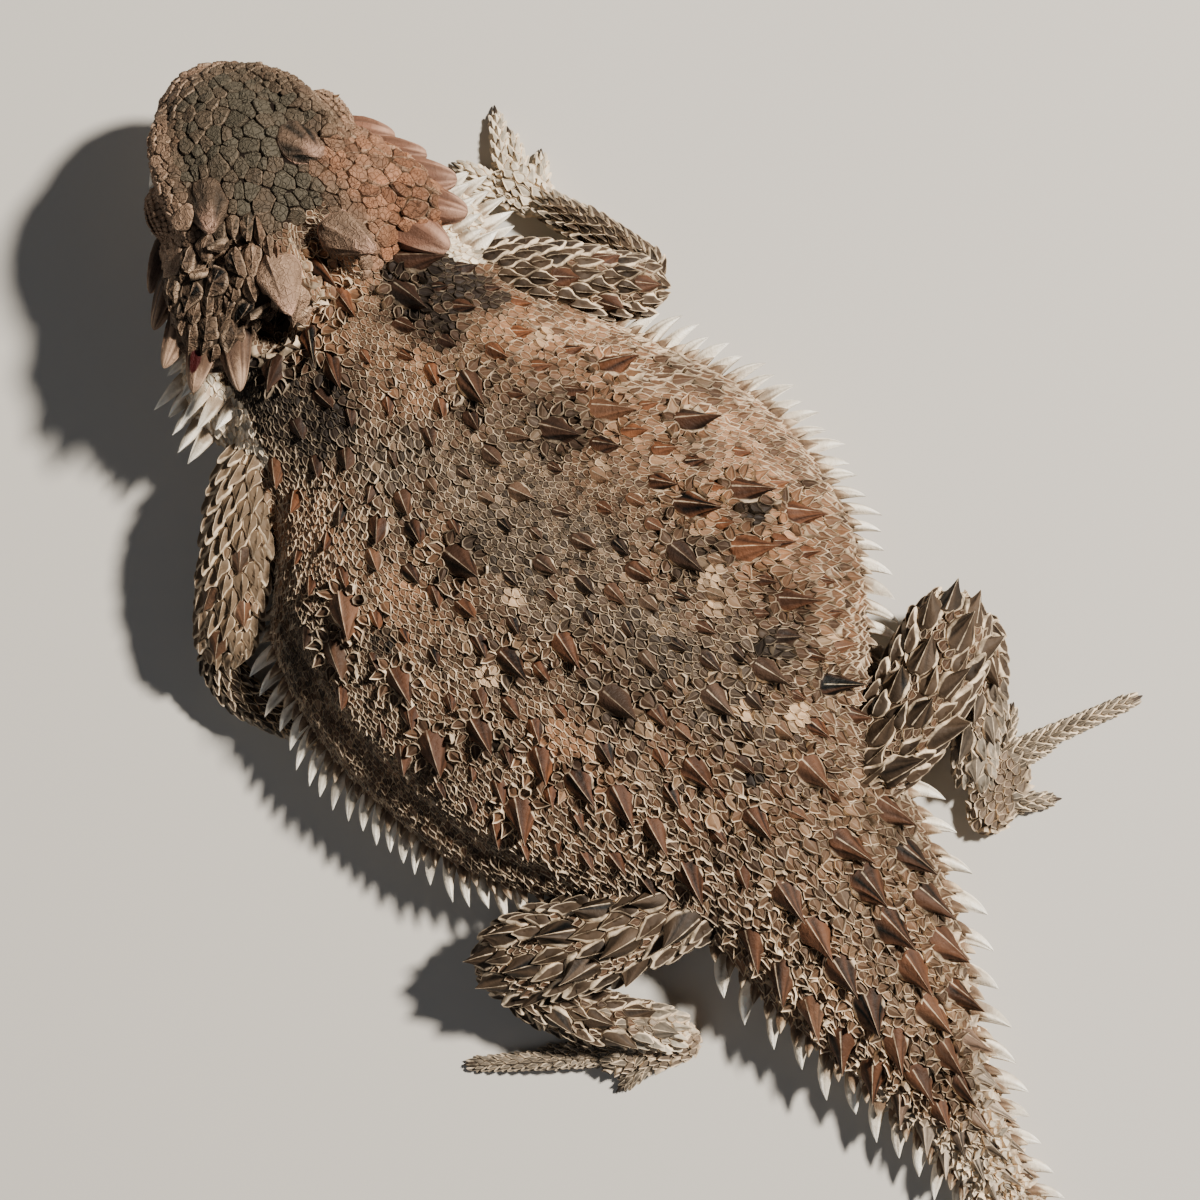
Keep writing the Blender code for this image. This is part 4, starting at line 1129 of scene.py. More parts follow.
def marks_at(points, owners, chances=None):
    """Dark, pale, warm and white marks at millimetre points. Warm is 0.5 where the colour is neutral."""
    shift = ripple(points, 1) * 1.1 + ripple(points, 2) * 0.5
    x, y, z = points.T

    def spots(table, soft=0.4):
        found = np.zeros(len(points))
        for at_x, at_y, radius in table:
            distance = np.hypot(x - at_x, y - at_y) + shift * min(1.2, radius * 0.35)
            found = np.maximum(found, np.clip((radius * (1 + soft) - distance) / (radius * 2 * soft), 0, 1))
        return found

    owner = np.asarray(owners)
    is_limb = np.array([o in LIMBS for o in owner])
    is_paw = np.array([o in PAWS for o in owner])
    is_tail = np.array([o.startswith("tail") for o in owner])
    is_head = owner == "head"
    is_trunk = ~(is_limb | is_paw | is_head)
    on_top = z > BACK_FROM
    strength = np.where(y < NAPE_END, NAPE_DARKNESS, BACK_DARKNESS)
    dark = spots(DARK_SPOTS_AND_SHADOWS) * on_top * strength
    dark = np.maximum(dark, 0.35 * np.clip(ripple(points, 0) - 0.25, 0, 1) * on_top)
    pale = spots(PALE_SPOTS, 0.3) * on_top
    warm = 0.5 + 0.5 * spots(WARM_SPOTS, 0.9) - 0.5 * spots(COOL_SPOTS, 0.8)
    warm += 0.15 * ripple(points, 1)
    white = np.clip((BELLY_TOP - z) / BELLY_FADE, 0, 1) * BELLY_WHITE
    pale[is_tail] = 0.05
    dark[is_limb | is_paw] = 0
    white[is_limb] = np.clip((3.4 - z[is_limb]) / 2.2, 0, 1)
    pale[is_limb] = np.where(owner[is_limb] == "upper_arm_left", 0.22, 0.0)
    warm[is_limb | is_paw] = LIMB_WARMTH
    heels = np.array([o.startswith("shin") for o in owner])
    white[heels] = np.clip((y[heels] - 30) / 5, 0, 1) * np.where(owner[heels] == "shin_left", 0.7, 0.3)
    white[is_paw] = np.where(owner[is_paw] == "hand_right", LIT_HAND_WHITE, PAW_WHITE)
    folds = (owner == "neck") & (np.abs(x) > 11.0) & (z < 13.0)
    white[folds] = NECK_FOLD_WHITE
    dark[folds] = 0
    if is_head.any():
        local = in_head(points[is_head])
        hx, hy, hz = local.T
        wobble = ripple(points[is_head], 0) * 0.1 + ripple(points[is_head], 1) * 0.08
        crown = np.hypot((hx + 0.6) / 6.4, (hy + 12.4) / 8.2) + wobble
        right = np.clip((-hx - 2.8) / 3.0, 0, 1) * np.clip((hy + 12.5) / 4.0, 0, 1)
        dark[is_head] = np.clip((1.3 - crown) / 0.55, 0, 1) * (hz > 15) * (1 - right)
        warm[is_head] = np.clip(0.5 + 0.55 * right + wobble, 0, 1)
        # Painted shade on the head's left temple: there the colour is made less warm and less pale.
        left = np.clip((hx - 2.0) / 3.0, 0, 1) * np.clip((hy + 11.0) / 4.0, 0, 1)
        warm[is_head] -= 0.4 * left
        pale[is_head] = np.clip((crown - 1.1) / 0.4, 0, 1) * 0.85 * (1 - right) * (1 - left)
        white[is_head] = np.clip((9.4 - hz) / 1.5, 0, 1) * 0.7
    if chances is not None:
        dark = np.clip(dark * (0.5 + chances * 1.1), 0, 1)
        dark = np.maximum(dark, np.clip((0.14 - chances) * 5, 0, 0.4) * is_trunk)
        pale = np.maximum(pale, np.clip((chances - 0.9) * 5, 0, 0.25) * is_trunk)
        warm = warm + (((chances * 7.3) % 1) - 0.5) * 0.25
    return np.clip(np.stack([dark, pale, warm, white], axis=1), 0, 1)


def bake_places(points, owners):
    """A place between 0 and 1 for each root, on an unrolled skin: along and around each part of the body."""
    places = np.zeros((len(points), 2))
    owners = np.asarray(owners)
    start = 0.004
    for name in sorted(set(owners)):
        mine = owners == name
        p = points[mine]
        middle = p.mean(axis=0)
        if name in LIMBS:
            joints = LIMBS[name]
            axis = np.array(Vector(joints[-1][0]) - Vector(joints[0][0]))
        else:
            axis = np.array((0.0, 1.0, 0.0))
        axis = axis / np.linalg.norm(axis)
        side = np.cross(axis, (0, 0, 1))
        ahead = (p - middle) @ axis
        around = np.arctan2((p - middle)[:, 2], (p - middle) @ side) / (2 * math.pi) + 0.5
        room = 0.992 * mine.sum() / len(points)
        places[mine, 0] = start + room * (0.02 + 0.96 * around)
        places[mine, 1] = 0.006 + 0.988 * (ahead - ahead.min()) / max(ahead.max() - ahead.min(), 1e-3)
        start += room
    return places


def to_metres(points):
    return (points - np.array(BOX_CENTRE)) * MM


def set_colours(mesh, key, values):
    """Gives every point of a mesh a colour that its material reads."""
    layer = mesh.attributes.new(key, "FLOAT_COLOR", "POINT")
    layer.data.foreach_set("color", values.astype(np.float32).reshape(-1))


def mesh_object(name, points, faces, marks, grown, bake, material):
    """A mesh from arrays: faces is a list of arrays of equal-sided faces."""
    mesh = bpy.data.meshes.new(name)
    loops = np.concatenate([f.reshape(-1) for f in faces])
    sides = np.concatenate([np.full(len(f), f.shape[1]) for f in faces])
    starts = np.concatenate([[0], np.cumsum(sides)[:-1]])
    mesh.vertices.add(len(points))
    mesh.vertices.foreach_set("co", to_metres(points).astype(np.float32).reshape(-1))
    mesh.loops.add(len(loops))
    mesh.loops.foreach_set("vertex_index", loops.astype(np.int32))
    mesh.polygons.add(len(sides))
    mesh.polygons.foreach_set("loop_start", starts.astype(np.int32))
    mesh.update(calc_edges=True)
    set_colours(mesh, "marks", marks)
    set_colours(mesh, "grown", grown)
    layer = mesh.uv_layers.new(name="OFBake")
    layer.data.foreach_set("uv", bake[loops].astype(np.float32).reshape(-1))
    mesh.materials.append(material)
    return bpy.data.objects.new(name, mesh)


def dress(obj):
    """Puts a finished piece in the scene, on the part's body."""
    obj.data.shade_smooth()
    bpy.context.scene.collection.objects.link(obj)
    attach(obj, "root")


def grow(name, mine, sides, profile, material, shape):
    """Grows one kind of scale on each chosen root.

    profile lists the rings from the root up: share of the reach, of the height, of the lean, the value that
    tells the material where the rim is, and the height of the keel. The last ring is the point at the top.
    shape gives how much the sides draw in, how far the free end reaches and lifts, how rough the top is, and
    how much the sides differ, which makes streaks from the root to the top.
    """
    pinch, point, lift, rough, streak = shape
    chosen = np.nonzero(mine)[0]
    rings = len(profile) - 1
    per = 2 * sides * (rings - 1) + sides + sides - 2
    parts = math.ceil(len(chosen) / (MOST_TRIANGLES // per))
    order = chosen[np.argsort(scales["p"][chosen, 1], kind="stable")]
    size = math.ceil(len(order) / parts)
    angles = np.array([2 * math.pi * k / sides for k in range(sides)])
    c, sn = np.cos(angles), np.sin(angles)
    for part in range(parts):
        k = order[part * size : (part + 1) * size]
        count, every = len(k), rings * sides + 1
        p, n, u, v = (scales[key][k][:, None, :] for key in ("p", "n", "u", "v"))
        reach = scales["reach"][sides][k]
        height, lean, aspect = (scales[key][k][:, None] for key in ("height", "lean", "aspect"))
        points, grown = np.zeros((count, every, 3)), np.ones((count, every, 4))
        local = np.zeros((count, every, 2))
        streaks = chance.uniform(-streak, streak, (count, sides))
        for r, (share, up, back, edge, keel) in enumerate(profile):
            last = r == rings
            span = 1 if last else sides
            at = slice(r * sides, r * sides + span)
            cc, ss = (np.zeros(1), np.zeros(1)) if last else (c, sn)
            rear, tipped = np.maximum(cc, 0) ** 3 * (r > 0), np.maximum(cc, 0) ** 8 * (r > 0)
            shoulder = np.maximum(cc, 0) * np.abs(ss) * 2 * (r > 0)
            side_streaks = streaks[:, :span] * (0.06 < share < 0.95)
            width = reach[:, :span] * share * (1 - 0.35 * point * shoulder) * (1 + 0.2 * side_streaks)
            ahead = aspect * width * cc * (1 + point * tipped) + back * lean
            aside = width * ss * (1 - pinch * (1 - share))
            ridge = np.exp(-((ss / 0.28) ** 2))
            rise = height * (up + keel * ridge + lift * share * rear)
            points[:, at] = p + u * ahead[..., None] + v * aside[..., None] + n * rise[..., None]
            if rough and r > 0:
                waviness = ripple(points[:, at] * 1.7, 2) + chance.normal(0, 0.5, (count, span))
                points[:, at] += n * (rough * waviness)[..., None]
            # The rim value: about 1 at the rim, where the material paints the rims' cream and highlight, and above 1
            # down the wall, where it paints crevice shade.
            grown[:, at, 0] = edge - 0.2 * np.maximum(-cc, 0) * (0.5 < edge < 1.2)
            grown[:, at, 2] = ridge * (r > 1)
            spread = np.maximum(scales["size"][k][:, None], 0.05)
            grown[:, at, 1] = scales["tint"][k][:, None] + side_streaks
            local[:, at, 0] = np.clip(width * cc / spread, -1, 1)
            local[:, at, 1] = np.clip(width * ss / spread, -1, 1)
        marks = np.repeat(scales["marks"][k][:, None, :], every, axis=1)
        offset = (np.arange(count) * every)[:, None, None]
        ring = np.arange(sides)
        after = (ring + 1) % sides
        quads = [
            np.stack([r * sides + ring, r * sides + after, (r + 1) * sides + after, (r + 1) * sides + ring], 1)
            for r in range(rings - 1)
        ]
        faces = [(offset + quad[None]).reshape(-1, 4) for quad in quads]
        top = np.stack([(rings - 1) * sides + ring, (rings - 1) * sides + after, np.full(sides, rings * sides)], 1)
        faces.append((offset + top[None]).reshape(-1, 3))
        faces.append((offset + ring[::-1][None, None]).reshape(-1, sides))
        bake = bake_places(scales["p"][k], scales["owner"][k])[:, None, :] + local * 0.0015
        points[..., 2] = np.maximum(points[..., 2], LOWEST)
        obj = mesh_object(
            name if parts == 1 else f"{name}_{part + 1}", points.reshape(-1, 3), faces, marks.reshape(-1, 4),
            grown.reshape(-1, 4), bake.reshape(-1, 2), material,
        )
        dress(obj)
        obj.data.set_sharp_from_angle(angle=SHARP)


def spine_rings(root, tip, width, thickness, bend, sides, shares, shape, flute):
    """Rings of a curved spine. shape gives the share of the width at each share of the length."""
    phase, rough = chance.uniform(0, 6), chance.normal(0, 0.25 * flute, sides)
    root, tip = Vector(root), Vector(tip)
    seat = nearest(skin_tree, root)[1]
    length = (tip - root).length
    rings = []
    for share in shares:
        at = root.lerp(tip, share) + bend * math.sin(math.pi * share) * length
        step = 0.02
        behind = root.lerp(tip, share - step) + bend * math.sin(math.pi * (share - step)) * length
        ahead = (at - behind).normalized()
        ahead = ahead.lerp(seat, max(0.0, 0.75 * (1 - share / 0.4))).normalized()
        x_axis = UP.cross(ahead).normalized()
        y_axis = ahead.cross(x_axis)
        size = shape(share)
        ring = []
        for a, knob in zip(full_turn(sides), rough):
            c, s = rounded(a, 1.8)
            fade = min(1.0, 3 * (1 - share))
            groove = 1 - (flute * (0.5 + 0.5 * math.cos(FLUTES * a + phase)) - knob) * fade
            ring.append(at + (x_axis * c * width / 2 + y_axis * s * thickness / 2) * size * groove)
        rings.append(ring)
    return rings


def sore_at(points):
    """How much of the sore is at each point."""
    middle, way, half_length, half_width = SORE
    away = points - np.array(middle)
    ahead = away @ np.array(way)
    across = np.sqrt(np.maximum((away[:, :2] ** 2).sum(1) - ahead**2, 0))
    return np.clip(1.6 - np.hypot(ahead / half_length, across / half_width), 0, 1) * (points[:, 2] > SORE_UNDERSIDE)


def spines(name, places, sides, shares, shape, material, flute=0.0):
    """Joins many curved spines in one mesh. Each place: root, tip, width, thickness, bend, owner."""
    points, faces, grown, roots, owners, local = [], [], [], [], [], []
    for root, tip, width, thickness, bend, owner in places:
        start = len(points)
        rings = spine_rings(root, tip, width, thickness, bend, sides, shares, shape, flute)
        tint, streaks = chance.uniform(0, 1), chance.uniform(0, 1, sides)
        for r, ring in enumerate(rings):
            for k, point in enumerate(ring):
                points.append(point)
                grown.append((shares[r], streaks[k], tint, 1))
                turn = 2 * math.pi * k / sides
                local.append((math.cos(turn) * (1 - shares[r]), math.sin(turn) * (1 - shares[r])))
                roots.append(root)
                owners.append(owner)
        for r in range(len(rings) - 1):
            for k in range(sides):
                after = (k + 1) % sides
                low, high = start + r * sides, start + (r + 1) * sides
                faces.append((low + k, low + after, high + after, high + k))
        faces.append(tuple(start + k for k in reversed(range(sides))))
        faces.append(tuple(start + (len(rings) - 1) * sides + k for k in range(sides)))
    points = np.array([tuple(p) for p in points])
    points[:, 2] = np.maximum(points[:, 2], LOWEST)
    roots = np.array([tuple(p) for p in roots])
    marks = marks_at(roots, owners)
    marks[:, 0] = sore_at(points)
    bake = bake_places(roots, owners) + np.array(local) * 0.0015
    quads = np.array([f for f in faces if len(f) == 4])
    caps = np.array([f for f in faces if len(f) == sides]) if sides != 4 else np.zeros((0, 4), int)
    obj = mesh_object(name, points, [quads, caps], marks, np.array(grown), bake, material)
    bm = bmesh.new()
    bm.from_mesh(obj.data)
    bmesh.ops.recalc_face_normals(bm, faces=bm.faces)
    bm.to_mesh(obj.data)
    bm.free()
    dress(obj)
    obj.data.set_sharp_from_angle(angle=SHARP)


# Materials


def put(tree, kind, settings=None, **inputs):
    """Adds a node, sets its settings, and fills its inputs with values or other nodes' outputs."""
    node = tree.nodes.new(kind)
    for key, value in (settings or {}).items():
        setattr(node, key, value)
    for key, value in inputs.items():
        name = key.replace("_", " ")
        socket = node.inputs[int(key[1:])] if key[0] == "i" and key[1:].isdigit() else node.inputs[name]
        if isinstance(value, bpy.types.NodeSocket):
            tree.links.new(value, socket)
        elif isinstance(value, tuple) and socket.type == "RGBA":
            socket.default_value = (*value, 1)
        else:
            socket.default_value = value
    return node


def math_node(tree, operation, first, second=None, clamp=False):
    inputs = {"i0": first}
    if second is not None:
        inputs["i1"] = second
    return put(tree, "ShaderNodeMath", {"operation": operation, "use_clamp": clamp}, **inputs).outputs[0]


def blend_colours(tree, factor, first, second, blend_type="MIX"):
    node = tree.nodes.new("ShaderNodeMix")
    node.data_type = "RGBA"
    node.blend_type = blend_type
    for socket, value in ((node.inputs[0], factor), (node.inputs[6], first), (node.inputs[7], second)):
        if isinstance(value, bpy.types.NodeSocket):
            tree.links.new(value, socket)
        elif isinstance(value, tuple):
            socket.default_value = (*value, 1)
        else:
            socket.default_value = value
    return node.outputs[2]


def new_material(name):
    material = bpy.data.materials.new(name)
    material.use_nodes = True
    return material, material.node_tree, material.node_tree.nodes["Principled BSDF"]


def channels(tree, attribute):
    """The red, green and blue of a colour that the mesh's points carry."""
    colour = put(tree, "ShaderNodeAttribute", {"attribute_name": attribute}).outputs["Color"]
    return put(tree, "ShaderNodeSeparateColor", None, Color=colour).outputs


def shaded(tree, colour, light):
    """The colour times a brightness."""
    grey = put(tree, "ShaderNodeCombineColor", None, Red=light, Green=light, Blue=light).outputs[0]
    return blend_colours(tree, 1.0, colour, grey, "MULTIPLY")


def ramp(tree, value, low, high):
    """0 below low, 1 above high, smooth between them."""
    node = put(
        tree, "ShaderNodeMapRange", {"interpolation_type": "SMOOTHSTEP"}, Value=value, From_Min=low, From_Max=high
    )
    return node.outputs[0]


def noise(tree, coordinates, scale, detail=3.0, roughness=0.55):
    node = put(
        tree, "ShaderNodeTexNoise", None, Vector=coordinates, Scale=scale, Detail=detail, Roughness=roughness
    )
    return node.outputs["Fac"]


def markings_group():
    """Ground colours, blotches, spots, rims that are partly painted highlight, and painted shade in the crevices,
    shared by the skin and every kind of scale.
    """
    group = bpy.data.node_groups.new("lizard_markings", "ShaderNodeTree")
    for name in ("Ground", "Second", "Warm", "Dark", "Pale", "White", "Rim"):
        group.interface.new_socket(name=name, in_out="INPUT", socket_type="NodeSocketColor")
    for name in ("Rim Amount", "Rim Start", "Variety", "Ridge Amount"):
        group.interface.new_socket(name=name, in_out="INPUT", socket_type="NodeSocketFloat")
    group.interface.new_socket(name="Color", in_out="OUTPUT", socket_type="NodeSocketColor")
    group.interface.new_socket(name="Grain", in_out="OUTPUT", socket_type="NodeSocketFloat")
    given = group.nodes.new("NodeGroupInput").outputs
    result = group.nodes.new("NodeGroupOutput")
    where = put(group, "ShaderNodeTexCoord").outputs["Object"]
    marks = put(group, "ShaderNodeAttribute", {"attribute_name": "marks"})
    dark_pale_warm, edge_tint_up = channels(group, "marks"), channels(group, "grown")
    broad = noise(group, where, 140.0, 3.0)
    fine = noise(group, where, 900.0, 4.0, 0.65)
    colour = blend_colours(group, ramp(group, dark_pale_warm[2], 0.5, 0.0), given["Ground"], given["Second"])
    warm_amount = math_node(group, "MULTIPLY", ramp(group, dark_pale_warm[2], 0.5, 1.0), ramp(group, broad, 0.25, 0.6))
    colour = blend_colours(group, warm_amount, colour, given["Warm"])
    colour = blend_colours(group, marks.outputs["Alpha"], colour, given["White"])
    swing = math_node(group, "SUBTRACT", edge_tint_up[1], 0.5)
    swing = math_node(group, "MULTIPLY", swing, given["Variety"])
    fine_swing = math_node(group, "MULTIPLY", math_node(group, "SUBTRACT", fine, 0.5), 0.9)
    light = math_node(group, "ADD", math_node(group, "ADD", swing, fine_swing), 1.0)
    colour = shaded(group, colour, light)
    colour = blend_colours(group, math_node(group, "MULTIPLY", dark_pale_warm[1], 0.85), colour, given["Pale"])
    colour = blend_colours(group, math_node(group, "MULTIPLY", dark_pale_warm[0], 0.95), colour, given["Dark"])
    # The rims and keels: the scales' own pale edges, made brighter as painted highlight where light glints on raised
    # edges and ridges.
    rim = put(
        group,
        "ShaderNodeMapRange",
        {"interpolation_type": "SMOOTHSTEP"},
        Value=edge_tint_up[0],
        From_Min=given["Rim Start"],
        From_Max=0.97,
    ).outputs[0]
    less = math_node(group, "SUBTRACT", 1.0, math_node(group, "MULTIPLY", dark_pale_warm[0], 0.86), clamp=True)
    ridge = math_node(group, "MULTIPLY", ramp(group, edge_tint_up[2], 0.72, 1.0), given["Ridge Amount"])
    rim = math_node(group, "MAXIMUM", math_node(group, "MULTIPLY", rim, given["Rim Amount"]), ridge)
    uneven = math_node(group, "ADD", math_node(group, "MULTIPLY", ramp(group, fine, 0.35, 0.6), 0.7), 0.3)
    rim = math_node(group, "MULTIPLY", math_node(group, "MULTIPLY", rim, uneven), less)
    colour = blend_colours(group, rim, colour, given["Rim"])
    # Painted shade: each scale's wall darkens towards its root, where it sinks between its neighbours.
    crevice_shade = ramp(group, edge_tint_up[0], 1.04, 1.4)
    colour = blend_colours(group, math_node(group, "MULTIPLY", crevice_shade, 0.85), colour, (0.02, 0.013, 0.008))
    group.links.new(colour, result.inputs["Color"])
    group.links.new(fine, result.inputs["Grain"])
    return group


def surface(name, group, colours, rim=(0.0, 0.7, 0.0), variety=0.7, roughness=0.62, bump=0.3, reach=0.00008, lines=0.0):
    """A scale's or skin's material, from the shared markings and its own bump."""
    material, tree, shader = new_material(name)
    marked = tree.nodes.new("ShaderNodeGroup")
    marked.node_tree = group
    for key, value in colours.items():
        marked.inputs[key].default_value = (*value, 1)
    marked.inputs["Rim Amount"].default_value = rim[0]
    marked.inputs["Rim Start"].default_value = rim[1]
    marked.inputs["Ridge Amount"].default_value = rim[2]
    marked.inputs["Variety"].default_value = variety
    where = put(tree, "ShaderNodeTexCoord").outputs["Object"]
    wrinkles = noise(tree, where, 2600.0, 3.0, 0.6)
    height = math_node(tree, "ADD", wrinkles, marked.outputs["Grain"])
    colour = marked.outputs["Color"]
    if lines:
        swirl = put(tree, "ShaderNodeTexNoise", None, Vector=where, Scale=700.0, Detail=2.0).outputs["Color"]
        bent = put(tree, "ShaderNodeMix", {"data_type": "VECTOR"}, i0=0.0012)
        tree.links.new(where, bent.inputs[4])
        tree.links.new(swirl, bent.inputs[5])
        cells = put(
            tree, "ShaderNodeTexVoronoi", {"feature": "DISTANCE_TO_EDGE"}, Vector=bent.outputs[1], Scale=1900.0
        ).outputs["Distance"]
        wrinkle = ramp(tree, cells, 0.1, 0.0)
        height = math_node(tree, "ADD", height, math_node(tree, "MULTIPLY", wrinkle, lines * 1.6))
        # Painted highlight: the raised wrinkle lines are made lighter.
        shade = math_node(tree, "ADD", 0.92, math_node(tree, "MULTIPLY", wrinkle, 0.42))
        colour = shaded(tree, colour, shade)
    relief = put(tree, "ShaderNodeBump", None, Strength=bump, Distance=reach, Height=height)
    tree.links.new(colour, shader.inputs["Base Color"])
    tree.links.new(relief.outputs[0], shader.inputs["Normal"])
    rough = put(tree, "ShaderNodeMapRange", None, Value=wrinkles, To_Min=roughness - 0.1, To_Max=roughness + 0.14)
    tree.links.new(rough.outputs[0], shader.inputs["Roughness"])
    shader.inputs["Specular IOR Level"].default_value = 0.2
    return material


# The rims' colour: the scales' own cream, made brighter as painted highlight.
CREAM_AND_GLINT = (0.88, 0.7, 0.5)
BACK_COLOURS = {
    "Ground": (0.08, 0.042, 0.023),
    "Second": (0.058, 0.04, 0.028),
    "Warm": (0.25, 0.125, 0.065),
    "Dark": (0.009, 0.0065, 0.0055),
    "Pale": (0.58, 0.4, 0.25),
    "White": (0.72, 0.64, 0.52),
    "Rim": CREAM_AND_GLINT,
}
LIMB_COLOURS = dict(BACK_COLOURS, Ground=(0.042, 0.027, 0.017), Second=(0.056, 0.037, 0.023), Warm=(0.09, 0.05, 0.028))
THORN_COLOURS = dict(BACK_COLOURS, Ground=(0.058, 0.024, 0.012), Second=(0.04, 0.023, 0.015), Warm=(0.11, 0.04, 0.016))
HEAD_COLOURS = {
    "Ground": (0.145, 0.09, 0.058),
    "Second": (0.07, 0.045, 0.029),
    "Warm": (0.25, 0.112, 0.06),
    "Dark": (0.068, 0.059, 0.042),
    "Pale": (0.43, 0.28, 0.19),
    "White": (0.6, 0.52, 0.4),
    "Rim": (0.6, 0.43, 0.3),
}


def horn_material(name, base, middle, tip):
    """Horn: its colour runs from root to tip, with streaks along it."""
    material, tree, shader = new_material(name)
    share, streak = channels(tree, "grown")[:2]
    where = put(tree, "ShaderNodeTexCoord").outputs["Object"]
    grain = noise(tree, where, 1500.0, 4.0, 0.7)
    fine_streaks = math_node(tree, "MULTIPLY", grain, 0.4)
    streaks = math_node(tree, "ADD", math_node(tree, "MULTIPLY", streak, 0.6), fine_streaks)
    sore = channels(tree, "marks")[0]
    rings = math_node(tree, "SINE", math_node(tree, "MULTIPLY", math_node(tree, "ADD", share, grain), 34.0))
    blotches = noise(tree, where, 420.0, 2.0)
    swing = math_node(tree, "MULTIPLY", math_node(tree, "SUBTRACT", streaks, 0.5), 0.7)
    reach = math_node(tree, "ADD", share, swing)
    colour = blend_colours(tree, ramp(tree, reach, 0.22, 0.55), base, middle)
    colour = blend_colours(tree, ramp(tree, reach, 0.55, 0.95), colour, tip)
    colour = blend_colours(tree, math_node(tree, "MULTIPLY", ramp(tree, blotches, 0.5, 0.72), 0.4), colour, base)
    colour = shaded(tree, colour, math_node(tree, "ADD", math_node(tree, "MULTIPLY", streaks, 1.1), 0.42))
    colour = blend_colours(tree, ramp(tree, sore, 0.35, 0.6), colour, (0.035, 0.001, 0.001))
    tree.links.new(colour, shader.inputs["Base Color"])
    height = math_node(tree, "ADD", streaks, math_node(tree, "MULTIPLY", rings, 0.08))
    relief = put(tree, "ShaderNodeBump", None, Strength=0.9, Distance=0.0002, Height=height)
    tree.links.new(relief.outputs[0], shader.inputs["Normal"])
    rough = put(tree, "ShaderNodeMapRange", None, Value=streaks, To_Min=0.5, To_Max=0.75)
    tree.links.new(rough.outputs[0], shader.inputs["Roughness"])
    shader.inputs["Specular IOR Level"].default_value = 0.25
    return material


def eye_material():
    """An eye: its colour runs from the pupil out by the angle from the way it looks."""
    material, tree, shader = new_material("eye")
    angle = channels(tree, "grown")[0]
    where = put(tree, "ShaderNodeTexCoord").outputs["Object"]
    flecks = noise(tree, where, 2400.0, 3.0)
    iris = blend_colours(tree, ramp(tree, flecks, 0.4, 0.62), (0.16, 0.07, 0.025), (0.42, 0.24, 0.08))
    colour = blend_colours(tree, ramp(tree, angle, 0.30, 0.36), (0.004, 0.003, 0.003), iris)
    colour = blend_colours(tree, ramp(tree, angle, 0.62, 0.72), colour, (0.02, 0.012, 0.008))
    tree.links.new(colour, shader.inputs["Base Color"])
    shader.inputs["Roughness"].default_value = 0.08
    shader.inputs["Coat Weight"].default_value = 1.0
    shader.inputs["Coat Roughness"].default_value = 0.03
    return material


markings = markings_group()
# The bare skin shows only in the gaps between the scales; its dark colours are painted shade in those gaps.
SKIN_SHADE_COLOURS = dict(
    BACK_COLOURS,
    Ground=(0.04, 0.024, 0.015),
    Second=(0.035, 0.025, 0.018),
    Warm=(0.07, 0.037, 0.02),
    Pale=(0.07, 0.045, 0.03),
)
SKIN = surface("skin", markings, SKIN_SHADE_COLOURS, roughness=0.8, bump=0.5)
SKIN.node_tree.nodes["Principled BSDF"].inputs["Specular IOR Level"].default_value = 0.04
GRAIN = surface("back_scales", markings, BACK_COLOURS, rim=(0.85, 0.5, 0.15), variety=0.7)
PETAL = surface("thorn_rings", markings, BACK_COLOURS, rim=(1.0, 0.5, 0.1), variety=0.6)
THORN = surface("thorns", markings, THORN_COLOURS, (0.6, 0.88, 0.6), 1.1, roughness=0.6, bump=0.9, reach=0.00012)
SPIKE = surface("leg_thorns", markings, LIMB_COLOURS, (0.8, 0.86, 0.9), 1.0, roughness=0.6, bump=0.8)
LIMB = surface("limb_scales", markings, LIMB_COLOURS, rim=(1.0, 0.82, 0.7), variety=0.9)
PLATE = surface("head_plates", markings, HEAD_COLOURS, (0.45, 0.84, 0.0), 0.8, bump=1.0, reach=0.00018, lines=0.45)
TEMPLE_SCALE = surface(
    "temple_scales", markings, HEAD_COLOURS, (0.5, 0.78, 0.6), 1.2, bump=1.0, reach=0.0002, lines=0.35
)
CROWN_HORN_COLOURS = dict(HEAD_COLOURS, Ground=(0.1, 0.065, 0.044), Rim=(0.6, 0.36, 0.26))
CROWN_HORN = surface(
    "crown_horns", markings, CROWN_HORN_COLOURS, (1.0, 0.08, 0.0), 1.1, bump=1.0, reach=0.0002, lines=0.25
)
FRINGE = horn_material("fringe", (0.4, 0.3, 0.21), (0.85, 0.76, 0.63), (0.95, 0.91, 0.82))
SMALL_FRINGE = horn_material("small_fringe", (0.1, 0.058, 0.034), (0.2, 0.125, 0.075), (0.55, 0.43, 0.3))
RIGHT_HORN = horn_material("right_horns", (0.13, 0.06, 0.036), (0.17, 0.08, 0.05), (0.36, 0.21, 0.15))
# The left horns get a darker copy of the horn colours, as painted shade on the left temple.
SHADED_LEFT_HORN = horn_material("left_horns", (0.055, 0.032, 0.021), (0.11, 0.063, 0.04), (0.38, 0.25, 0.17))
CLAW = horn_material("claws", (0.1, 0.07, 0.05), (0.05, 0.035, 0.025), (0.03, 0.02, 0.015))
EYE = eye_material()


# Growing everything


place_horns()
seed_back_thorns()
seed_tail_thorns()
seed_limb_thorns()
seed_limb_rows()
seed_toe_rows()
seed_lips()
seed_lids()
seed_small_scales()
scales = seeds.arrays()
scales["marks"] = marks_at(scales["p"], scales["owner"], scales["tint"])
big = np.isin(scales["kind"], ("thorn", "keeled", "spike"))
scales["marks"][big, 0] *= 0.7
scales["marks"][big, 1] *= 0.2
scales["marks"][big, 3] *= 0.4
scales["marks"][scales["kind"] == "horn", 0] *= 0.25
scales["reach"] = {count: cell_reach(scales, count) for count in (8, 10, 12, 16, 24)}
kind = scales["kind"]

